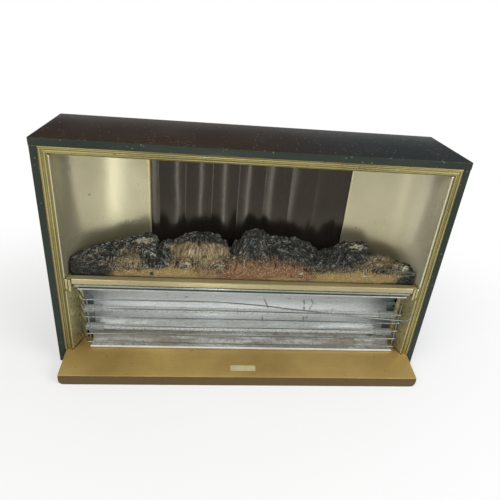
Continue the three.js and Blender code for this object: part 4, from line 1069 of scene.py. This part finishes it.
log_mesh = new_mesh("moulded_logs", np.vstack([top, rim, under]), faces)
for label, mask in masks.items():
    store(log_mesh, label, mask)
store(log_mesh, "grain", grain_run, "FLOAT_VECTOR")
face_outward(log_mesh)
finish_piece("moulded_logs", log_mesh, "log_skin", "log_bed", ["fuel_bed"])
print("logs stand", round(float(z_grid.max()), 1), "mm over the shelf")

# %% [markdown]
# ## Wires from curves
#
# The guard is six bent wires and two rods. Each is a curve through a few points, given
# its round section by one Geometry Nodes tree: the wires and their ends come from the
# same few numbers, and the tree decides how finely they are divided.

# %% Geometry Nodes tree: a round wire along a curve
def geometry_group(name, inputs):
    """A geometry group that takes and gives a Geometry, besides its named inputs."""
    return new_group(name, {"Geometry": (SHAPE,), **inputs, "Finish": (STUFF,)},
                     {"Geometry": SHAPE}, "GeometryNodeTree")


def round_wire(t, curve, sides, radius):
    ring = t.get("GeometryNodeCurvePrimitiveCircle", {"Resolution": sides, "Radius": radius},
                 mode="RADIUS")
    return t.get("GeometryNodeCurveToMesh", {
        "Curve": curve, "Profile Curve": ring, "Fill Caps": True})


def end_tree(t, given, out, geometry):
    """Ends a geometry tree: instances are made real and get the finish."""
    real = t.get("GeometryNodeRealizeInstances", {"Geometry": geometry})
    t.feed(out["Geometry"], t.get("GeometryNodeSetMaterial", {
        "Geometry": real, "Material": given["Finish"]}))


wire_group, t, given, out = geometry_group("round wire", {
    "Radius": (FLOAT, 0.0012), "Sides": (INT, 12), "Step": (FLOAT, 0.003)})
spaced = t.get("GeometryNodeResampleCurve", {
    "Curve": given["Geometry"], "Length": given["Step"]}, mode="LENGTH")
end_tree(t, given, out, round_wire(t, spaced, given["Sides"], given["Radius"]))

# %% From a carrier and a tree to a piece
def real_mesh(thing):
    """The plain mesh of an object after its modifiers; the object itself is removed."""
    if not thing.users_collection:
        scene.collection.objects.link(thing)
    depsgraph = bpy.context.evaluated_depsgraph_get()
    mesh = bpy.data.meshes.new_from_object(thing.evaluated_get(depsgraph), depsgraph=depsgraph)
    data = thing.data
    bpy.data.objects.remove(thing)
    (bpy.data.curves if isinstance(data, bpy.types.Curve) else bpy.data.meshes).remove(data)
    return mesh


def grown_piece(name, carrier, group, values, finish_name, replaces=(), closed=True,
                smooth=True):
    """A piece that a geometry tree makes of a carrier object."""
    grower = carrier.modifiers.new("grow", "NODES")
    grower.node_group = group
    values = {**values, "Finish": MATERIALS[finish_name]}
    for item in group.interface.items_tree:
        if item.item_type == "SOCKET" and item.in_out == "INPUT" and item.name in values:
            grower[item.identifier] = values[item.name]
    mesh = real_mesh(carrier)
    if closed:
        face_outward(mesh)
    return finish_piece(name, mesh, finish_name, replaces=replaces, smooth=smooth)


def blank():
    return bpy.data.objects.new("blank", bpy.data.meshes.new("blank"))


def curves_object(paths):
    """One curve object of several open splines through points in workshop millimetres."""
    curve = bpy.data.curves.new("paths", "CURVE")
    curve.dimensions = "3D"
    for path in paths:
        spline = curve.splines.new("POLY")
        spline.points.add(len(path) - 1)
        for point, at in zip(spline.points, placed(path)):
            point.co = (*at, 1.0)
    return bpy.data.objects.new("paths", curve)


def smooth_path(points, steps=12):
    """Catmull-Rom points through a path, so that a bend in a wire is round."""
    p = np.asarray(points, float)
    p = np.vstack([2 * p[0] - p[1], p, 2 * p[-1] - p[-2]])
    result = []
    for k in range(1, len(p) - 2):
        for s in np.linspace(0, 1, steps, endpoint=False):
            result.append(0.5 * (2 * p[k] + (p[k + 1] - p[k - 1]) * s
                          + (2 * p[k - 1] - 5 * p[k] + 4 * p[k + 1] - p[k + 2]) * s ** 2
                          + (3 * p[k] - p[k - 1] - 3 * p[k + 1] + p[k + 2]) * s ** 3))
    result.append(p[-2])
    return np.array(result)


# %% The guard and its sprung top wire
WIRE, BENDS, HOLE = 1.2, {-1: -293.5, 1: 303.0}, (313.4, 33.0)
WIRE_HEIGHTS = [49 + 19.5 * k for k in range(5)]
TOP_WIRE = 146.5


def wire_end(z, side, y=0.0):
    """From the straight run through the bend to the hole in the side panel."""
    bend = BENDS[side]
    nearing = [(bend - side * 5, y, z), (bend - side * 1.6, y + 0.25, z),
               (bend - side * 0.3, y + 1.2, z)]
    leaving = [(bend + (side * HOLE[0] - bend) * share, HOLE[1] * share, z)
               for share in (0.12, 1.105)]
    return nearing + leaving


def guard_path(z):
    straight = [(x, 0.25 * math.sin(x / 61 + z), z + 0.3 * math.sin(x / 83 + 2 * z))
                for x in np.linspace(-280, 290, 20)]
    return smooth_path([*wire_end(z, -1)[::-1], *straight, *wire_end(z, 1)])


# The sprung wire: share of the way across, forward and down from where it should run.
SAG = [(0.19, 0, 0.6), (0.388, -0.2, 1), (0.536, -2, -3), (0.623, -3.6, -8),
       (0.76, -6.4, -14.5), (0.941, -10, -22.5)]


def loose_path(y=-0.6, z=TOP_WIRE):
    sag = [(BENDS[-1] + (BENDS[1] - BENDS[-1]) * share, y + dy, z + dz) for share, dy, dz in SAG]
    end = [(BENDS[1] + dx, y + dy, z + dz)
           for dx, dy, dz in ((0, -11.2, -23.4), (8, -12, -20), (13, -13, -7))]
    return smooth_path([*wire_end(z, -1, y)[::-1], *sag, *end])


rods = [[(BENDS[side] - side * 4.5, 2.1, 46 + k * 14.8) for k in range(8)] for side in (-1, 1)]
for name, paths, node_name in (
        ("guard_wires", [guard_path(z) for z in WIRE_HEIGHTS] + rods, "guard"),
        ("loose_wire", [loose_path()], "guard_loose_wire")):
    grown_piece(name, curves_object(paths), wire_group,
                {"Radius": WIRE * MM}, "guard_chrome", [node_name])

# %% [markdown]
# ## The wound coils
#
# Inside each silica tube lies a helix of resistance wire. The tree winds it round the
# tube's middle line: its pitch and its radius are inputs, and the same round wire gives
# it its section.

# %% Geometry Nodes tree: a helix along x
coil_group, t, given, out = geometry_group("wound coil", {
    "Half Length": (FLOAT, 0.276), "Coil Radius": (FLOAT, 0.0032), "Turns": (FLOAT, 190.0),
    "Wire Radius": (FLOAT, 0.0004), "Height": (FLOAT, 0.105), "Depth": (FLOAT, -0.022),
    "Points": (INT, 2281)})
line = t.get("GeometryNodeCurvePrimitiveLine", {"Start": (0, 0, 0), "End": (1, 0, 0)})
line = t.get("GeometryNodeResampleCurve", {"Curve": line, "Count": given["Points"]}, mode="COUNT")
share = t.add("GeometryNodeSplineParameter").outputs["Factor"]
angle = t.times(t.times(share, given["Turns"]), 2 * math.pi)
x = t.times(t.minus(t.times(share, 2.0), 1.0), given["Half Length"])
y = t.math("MULTIPLY_ADD", t.math("COSINE", angle), given["Coil Radius"], given["Depth"])
z = t.math("MULTIPLY_ADD", t.math("SINE", angle), given["Coil Radius"], given["Height"])
wound = t.get("GeometryNodeSetPosition", {"Geometry": line, "Position": t.joined(x, y, z)})
end_tree(t, given, out, round_wire(t, wound, 4, given["Wire Radius"]))

# %% Wind both coils
ELEMENT_DEPTH, ELEMENT_HEIGHTS = 30.0, {"upper": 105.0, "lower": 62.0}
for level, height in ELEMENT_HEIGHTS.items():
    grown_piece("coil_" + level, blank(), coil_group, {
        "Height": height * MM, "Depth": (ELEMENT_DEPTH - FRONT_PLANE) * MM,
    }, "coil_wire", ["element_coil_" + level])

# %% [markdown]
# ## The cheeks' two sheets
#
# Polished sheet shows mostly what it mirrors, so its exact curve matters more than its
# colour. Each cheek is a fine grid along its bend, from the rolled hem back to the
# screen, with a slight unevenness, and Solidify gives it its thickness.

# %% Rolled hem and cheek
HEM = (322.9, 1.6)
CHEEK_LOW, CHEEK_HIGH, CHEEK_SHEET = 188.4, 410.8, 1.0


def hem_arc(middle, radius, start, end, steps):
    a = np.radians(np.linspace(start, end, steps + 1))
    return np.stack([middle[0] + radius * np.cos(a), middle[1] + radius * np.sin(a)], -1)


def swept(line, low, high, rows):
    """A grid of points: a line in plan repeated at even heights."""
    grid = np.zeros((rows + 1, len(line), 3))
    grid[:, :, :2] = line[None]
    grid[:, :, 2] = np.linspace(low, high, rows + 1)[:, None]
    return grid


cheek_plan = np.vstack([
    hem_arc(HEM, 0.9, 60, -180, 12),
    bezier([(HEM[0] - 0.9, 2.0), (320.4, 50), (276, 87), (183.2, 92.6)], 72)[1:],
])
for side, word in ((-1, "left"), (1, "right")):
    grid = swept(cheek_plan * (side, 1), CHEEK_LOW, CHEEK_HIGH, 56)
    x, z = grid[:, :, 0], grid[:, :, 2]
    share = ease(grid[:, :, 1], 8, 30) * ease(np.abs(x), 186, 200)
    uneven = 0.5 * (layered(x / 60 + 9, z / 85, 131 + side, 2) - 0.5) * share
    grid[:, :, 0] -= side * uneven * 0.6
    grid[:, :, 1] -= np.abs(uneven) * 0.8
    sheet_piece("polished_cheek_" + word, grid, CHEEK_SHEET, "cheek_metal",
                ["cheek_" + word])

# %% [markdown]
# ## Tabs at the shelf's ends
#
# The shelf's front fold stops short of the surround. A small folded tab of gold sheet
# closes the gap at each end, so that no dark slit shows beside the bracket.

# %% One folded tab for each end
TAB_LOW, TAB_HIGH, TAB_SHEET = 162.8, 186.6, 0.8
tab_plan = np.vstack([
    [(318.9, 1.7), (321, 1.7)], hem_arc((322.0, 3.3), 1.6, -90, 0, 6),
    [(323.6, 9), (323.6, 14)],
])
for side, word in ((-1, "left"), (1, "right")):
    sheet_piece("shelf_tab_" + word, swept(tab_plan * (side, 1), TAB_LOW, TAB_HIGH, 4),
                TAB_SHEET, "panel_gold")

# %% [markdown]
# ## Screen and reflector
#
# The screen is a flat grid that a tree ripples into flutes. The reflector is one bent
# line, from the fold under the hood down round the bowl to the fold at its foot, repeated
# along its length. Both are a little uneven, which breaks up what they mirror.

# %% The fluted screen, from a tree that ripples a grid
SCREEN_DEPTH, SCREEN_SHEET = 96.6, 1.4
flute_group, t, given, out = geometry_group("fluted sheet", {
    "Width": (FLOAT, 0.384), "Height": (FLOAT, 0.2226), "Pitch": (FLOAT, 0.048),
    "Rise": (FLOAT, 0.0018), "Depth": (FLOAT, 0.0), "Low": (FLOAT, 0.1883)})
sheet = t.get("GeometryNodeMeshGrid", {
    "Size X": given["Width"], "Size Y": given["Height"], "Vertices X": 193, "Vertices Y": 25})
spot = t.axes(t.get("GeometryNodeInputPosition"))
phase = t.times(t.math("DIVIDE", spot["X"], given["Pitch"]), math.pi)
arch = t.math("MULTIPLY_ADD", t.size(t.math("COSINE", phase)), 2.0, -1.0)
uneven = t.minus(t.noise(t.joined(spot["X"], spot["Y"]), 11.0, 1.0), 0.5)
ripple = t.plus(t.times(arch, given["Rise"]), t.times(uneven, 0.0024))
middle = t.math("MULTIPLY_ADD", given["Height"], 0.5, given["Low"])
stood = t.get("GeometryNodeSetPosition", {"Geometry": sheet, "Position": t.joined(
    spot["X"], t.minus(given["Depth"], ripple), t.plus(spot["Y"], middle))})
end_tree(t, given, out, stood)
flames = grown_piece(
    "fluted_screen", blank(), flute_group, {"Depth": (SCREEN_DEPTH - FRONT_PLANE) * MM},
    "screen_bronze", ["flame_screen"], closed=False)
thicken(flames, SCREEN_SHEET, False)

# %% The bowl of the radiant reflector, folded at its top and at its foot
BOWL_LEFT, BOWL_RIGHT, BOWL_SHEET = -292, 304, 0.9
bowl = bezier([(16, 162.5), (84, 146), (88, 56), (22, 34.2)], 72)
profile = np.vstack([
    [(3, 167.2), (3.1, 166), (3.4, 164.8), (4.4, 164.4), (6, 164.2), (11, 163.6)], bowl,
    [(17, 32.4), (12, 31.4), (8.5, 31.2), (6.2, 31.3), (5.3, 31.9), (5, 33.2), (5, 36.6)],
])
depth, height = profile.T
# Its ends run on behind the end plates, where nothing stands in the way.
beside = np.maximum(ease(depth, 30, 42), ease(height, 132, 142))
behind_plate = ease(depth, 41, 47)
more_left, more_right = 11.5 * beside + 12.5 * behind_plate, 12 * behind_plate
columns = np.linspace(BOWL_LEFT, BOWL_RIGHT, 300)
grid = np.zeros((len(columns), len(profile), 3))
grid[:, :, 0] = (columns[:, None] - ease(-columns, 240, -BOWL_LEFT)[:, None] * more_left[None]
                 + ease(columns, 260, BOWL_RIGHT)[:, None] * more_right[None])
grid[:, :, 1:] = profile[None]
x, z = grid[:, :, 0], grid[:, :, 2]
grid[:, :, 1] += 1.1 * (layered(x / 75, z / 34, 141, 2) - 0.5) * ease(depth, 14, 34)[None]

# %% Its burns, and the reflector itself
# Brown burns on the bowl: both ends as x and height, and half width.
SCORCHES = [
    (124, 110, 127, 97, 1.5), (127, 91, 127, 84, 1.8), (127, 70, 127, 64, 1.8),
    (139, 112, 145, 100, 1.2), (145, 100, 138, 85, 1.2), (135, 76, 134, 68, 1.5),
    (41, 110, 47, 98, 1.4), (47, 98, 52, 86, 1.4), (41, 68, 41, 62, 1.5),
    (258, 46, 282, 47, 1.6), (264, 44.4, 276, 44.8, 1.6), (268, 42.6, 271, 43, 1.4),
    (90, 112, 97, 111, 1.3), (-118, 108, -112, 110, 1.2), (190, 40, 232, 38, 1.2),
]
scorch_mask = np.zeros_like(x)
for *ends, half in SCORCHES:
    away = from_stroke(x, z, *ends) + 1.2 * (layered(x / 4, z / 4, 149, 2) - 0.5)
    scorch_mask = np.maximum(scorch_mask, ease(away, half * 1.5, half * 0.4))
bowl_sheet = sheet_piece("radiant_reflector", grid, BOWL_SHEET, "hazed_mirror",
                         ["reflector"])
store(bowl_sheet.data, "scorch", scorch_mask)

# %% [markdown]
# ## Screws
#
# One slotted dome head is modelled once. A tree puts it on every point of a list, turned
# to the surface that it holds, with its slot at a turn of its own.

# %% One slotted screw head
DOME_RINGS, DOME_PARTS, DOME_SUNK = 4, 12, 0.4


def dome(radius, height):
    """A low dome on x, y, standing on z = 0 and sunk a little below it."""
    work = bmesh.new()
    rings = []
    for k in range(DOME_RINGS):
        angle = math.pi / 2 * k / DOME_RINGS
        r, z = radius * math.cos(angle), height * math.sin(angle)
        rings.append([work.verts.new((r * math.cos(a), r * math.sin(a), z))
                      for a in (2 * math.pi * (m + 0.5) / DOME_PARTS for m in range(DOME_PARTS))])
    foot = [work.verts.new((v.co.x, v.co.y, -DOME_SUNK * MM)) for v in rings[0]]
    for low, high in zip([foot, *rings], rings):
        for m in range(DOME_PARTS):
            n = (m + 1) % DOME_PARTS
            work.faces.new((low[m], low[n], high[n], high[m]))
    work.faces.new(rings[-1])
    work.faces.new(foot[::-1])
    bmesh.ops.recalc_face_normals(work, faces=work.faces)
    return work


def box(place, size):
    work = bmesh.new()
    bmesh.ops.create_cube(
        work, size=1.0, matrix=Matrix.Translation(place) @ Matrix.Diagonal((*size, 1)))
    return work


def thing_of(name, work):
    """A linked object of a bmesh, which is freed."""
    mesh = bpy.data.meshes.new(name)
    work.to_mesh(mesh)
    work.free()
    thing = bpy.data.objects.new(name, mesh)
    scene.collection.objects.link(thing)
    return thing


def slotted_head(radius, height):
    """The dome with its slot cut by an exact boolean."""
    head = thing_of("head", dome(radius, height))
    knife = thing_of("knife", box((0, 0, height), (radius * 2.4, radius * 0.3, height * 1.1)))
    cut = head.modifiers.new("slot", "BOOLEAN")
    cut.object, cut.operation, cut.solver = knife, "DIFFERENCE", "EXACT"
    mesh = real_mesh(head)
    bpy.data.objects.remove(knife)
    return mesh


# %% Geometry Nodes tree: the head on every point, along the point's own direction
screws_group, t, given, out = geometry_group("screws on points", {
    "Head": (THING,), "Seed": (INT, 3)})
facing = t.get("GeometryNodeInputNamedAttribute", {"Name": "facing"}, data_type="FLOAT_VECTOR")
turned = t.get("FunctionNodeAlignRotationToVector", {"Vector": facing}, axis="Z")
spin = t.add("FunctionNodeRandomValue", {2: 0.0, 3: math.pi, "Seed": given["Seed"]},
             data_type="FLOAT").outputs[1]
head = t.add("GeometryNodeObjectInfo", {"Object": given["Head"]}).outputs["Geometry"]
own = t.get("FunctionNodeAxisAngleToRotation", {"Axis": (0, 0, 1), "Angle": spin})
both = t.get("FunctionNodeRotateRotation", {"Rotation": turned, "Rotate By": own},
             rotation_space="LOCAL")
cloud = t.get("GeometryNodeMeshToPoints", {"Mesh": given["Geometry"]})
end_tree(t, given, out, t.get("GeometryNodeInstanceOnPoints", {
    "Points": cloud, "Instance": head, "Rotation": both}))


def screws(name, radius, height, places, finish_name="steel_pin", seed=3):
    """Heads at points in workshop millimetres, each with the direction that it faces."""
    head = bpy.data.objects.new("head", slotted_head(radius * MM, height * MM))
    scene.collection.objects.link(head)
    points, directions = zip(*places)
    mesh = new_mesh("places", points)
    store(mesh, "facing", directions, "FLOAT_VECTOR")
    grown_piece(name, bpy.data.objects.new("places", mesh), screws_group,
                {"Head": head, "Seed": seed}, finish_name, closed=False, smooth=False)
    bpy.data.objects.remove(head)


# %% Where the screws sit
def cheek_spot(x, z, side):
    """A point on the cheek's front face at a distance from the middle, and its normal."""
    k = int(np.argmin(np.abs(cheek_line[:, 0] - x)))
    run = cheek_line[k + 1] - cheek_line[k - 1]
    normal = np.array([run[1], -run[0]]) / np.hypot(*run)
    normal = normal if normal[1] < 0 else -normal
    at = cheek_line[k] + normal * 0.6
    return (side * at[0], at[1], z), (side * normal[0], normal[1], 0)


def both_sides(x, y, heights, direction):
    return [((side * x, y, z), (0, direction, 0)) for side in (-1, 1) for z in heights]


screws("cheek_screws", 1.6, 0.8, [cheek_spot(285, 322, -1), cheek_spot(209, 268, 1)],
       "dark_steel")
screws("plate_screws", 2.6, 1.4, both_sides(307.6, 36.9, (51, 118), -1), seed=5)
screws("cap_screws", 3.0, 1.5, both_sides(294, 23.6, ELEMENT_HEIGHTS.values(), -1), seed=7)
screws("back_screws", 3.4, 1.7, both_sides(330.2, 160.1, (46, 160, 290, 404), 1)
       + both_sides(120, 160.1, (131,), 1), seed=9)

# %% [markdown]
# ## Floor and light
#
# A plain pale floor, a large soft light on each side in front, and a narrow one low in
# front of the middle, which is what the screen and the left cheek mirror as bright
# streaks. The room that the metal mirrors is bright only near the horizon and overhead.
# What the camera sees behind it all is plain white, and lights nothing.

# %% Floor
FLOOR_HALF = 40
WHITE = (1.0, 1.0, 1.0, 1.0)
floor_mesh = bpy.data.meshes.new("floor")
floor_mesh.from_pydata([(x * FLOOR_HALF, y * FLOOR_HALF, 0) for x, y in (
    (-1, -1), (1, -1), (1, 1), (-1, 1))], [], [(0, 1, 2, 3)])
floor = bpy.data.objects.new("floor", floor_mesh)
scene.collection.objects.link(floor)
t = Finish("pale_floor", Roughness=0.9, Specular_IOR_Level=0.1, Base_Color=(0.9, 0.9, 0.9, 1))
floor_mesh.materials.append(MATERIALS["pale_floor"])
path = t.add("ShaderNodeLightPath").outputs
mirrored = t.math("MAXIMUM", path["Is Glossy Ray"], path["Is Transmission Ray"])
seen = t.math("MAXIMUM", path["Is Camera Ray"], mirrored)
far = t.add("ShaderNodeVectorMath", {0: t.stretched(t.place(), (0.75, 1.0, 1.0))},
            operation="LENGTH").outputs["Value"]
white = t.times(seen, t.span(far, 0.2, 0.75, 0.45, 1.0))
glow = t.get("ShaderNodeEmission", {"Color": WHITE, "Strength": 1.0})
both = t.get("ShaderNodeMixShader", {0: white, 1: t.shader.outputs[0], 2: glow})
t.feed_named(t.tree.nodes["Material Output"], {"Surface": both})

# %% World
world = bpy.data.worlds.new("studio")
scene.world = world
world.use_nodes = True
t = Tree(world.node_tree)
upward = t.axes(t.add("ShaderNodeTexCoord").outputs["Generated"])["Z"]
room = t.plus(t.span(upward, 0.02, 0.17, 1.0, 0.1), t.span(upward, 0.35, 0.85, 0.0, 0.4))
straight = t.add("ShaderNodeLightPath").outputs["Is Camera Ray"]
t.feed_named(world.node_tree.nodes["Background"], {
    "Color": WHITE, "Strength": t.math("MAXIMUM", room, straight)})


# %% Lamps
def soft_lamp(name, place, target, size, power, colour, spread=180.0):
    lamp = bpy.data.lights.new(name, "AREA")
    lamp.shape = "RECTANGLE"
    lamp.size, lamp.size_y = size
    lamp.energy, lamp.color, lamp.spread = power, colour, math.radians(spread)
    holder = bpy.data.objects.new(name, lamp)
    scene.collection.objects.link(holder)
    holder.location = place
    holder.rotation_euler = (Vector(target) - Vector(place)).to_track_quat("-Z", "Y").to_euler()
    holder.visible_camera = False


soft_lamp("key", (-1.4, -1.6, 2.0), (0, 0, 0.2), (1.6, 1.6), 36, (1.0, 0.97, 0.93))
soft_lamp("fill", (1.6, -1.2, 1.4), (0, 0, 0.2), (1.4, 1.4), 36, (0.96, 0.98, 1.0))
soft_lamp("window", (-0.06, -0.45, 0.17), (-0.05, 0, 0.29), (0.05, 0.26), 0.062,
          (0.9, 0.96, 1.0), spread=80)
scene.view_settings.view_transform = "Standard"
print("lamps:", len(bpy.data.lights))
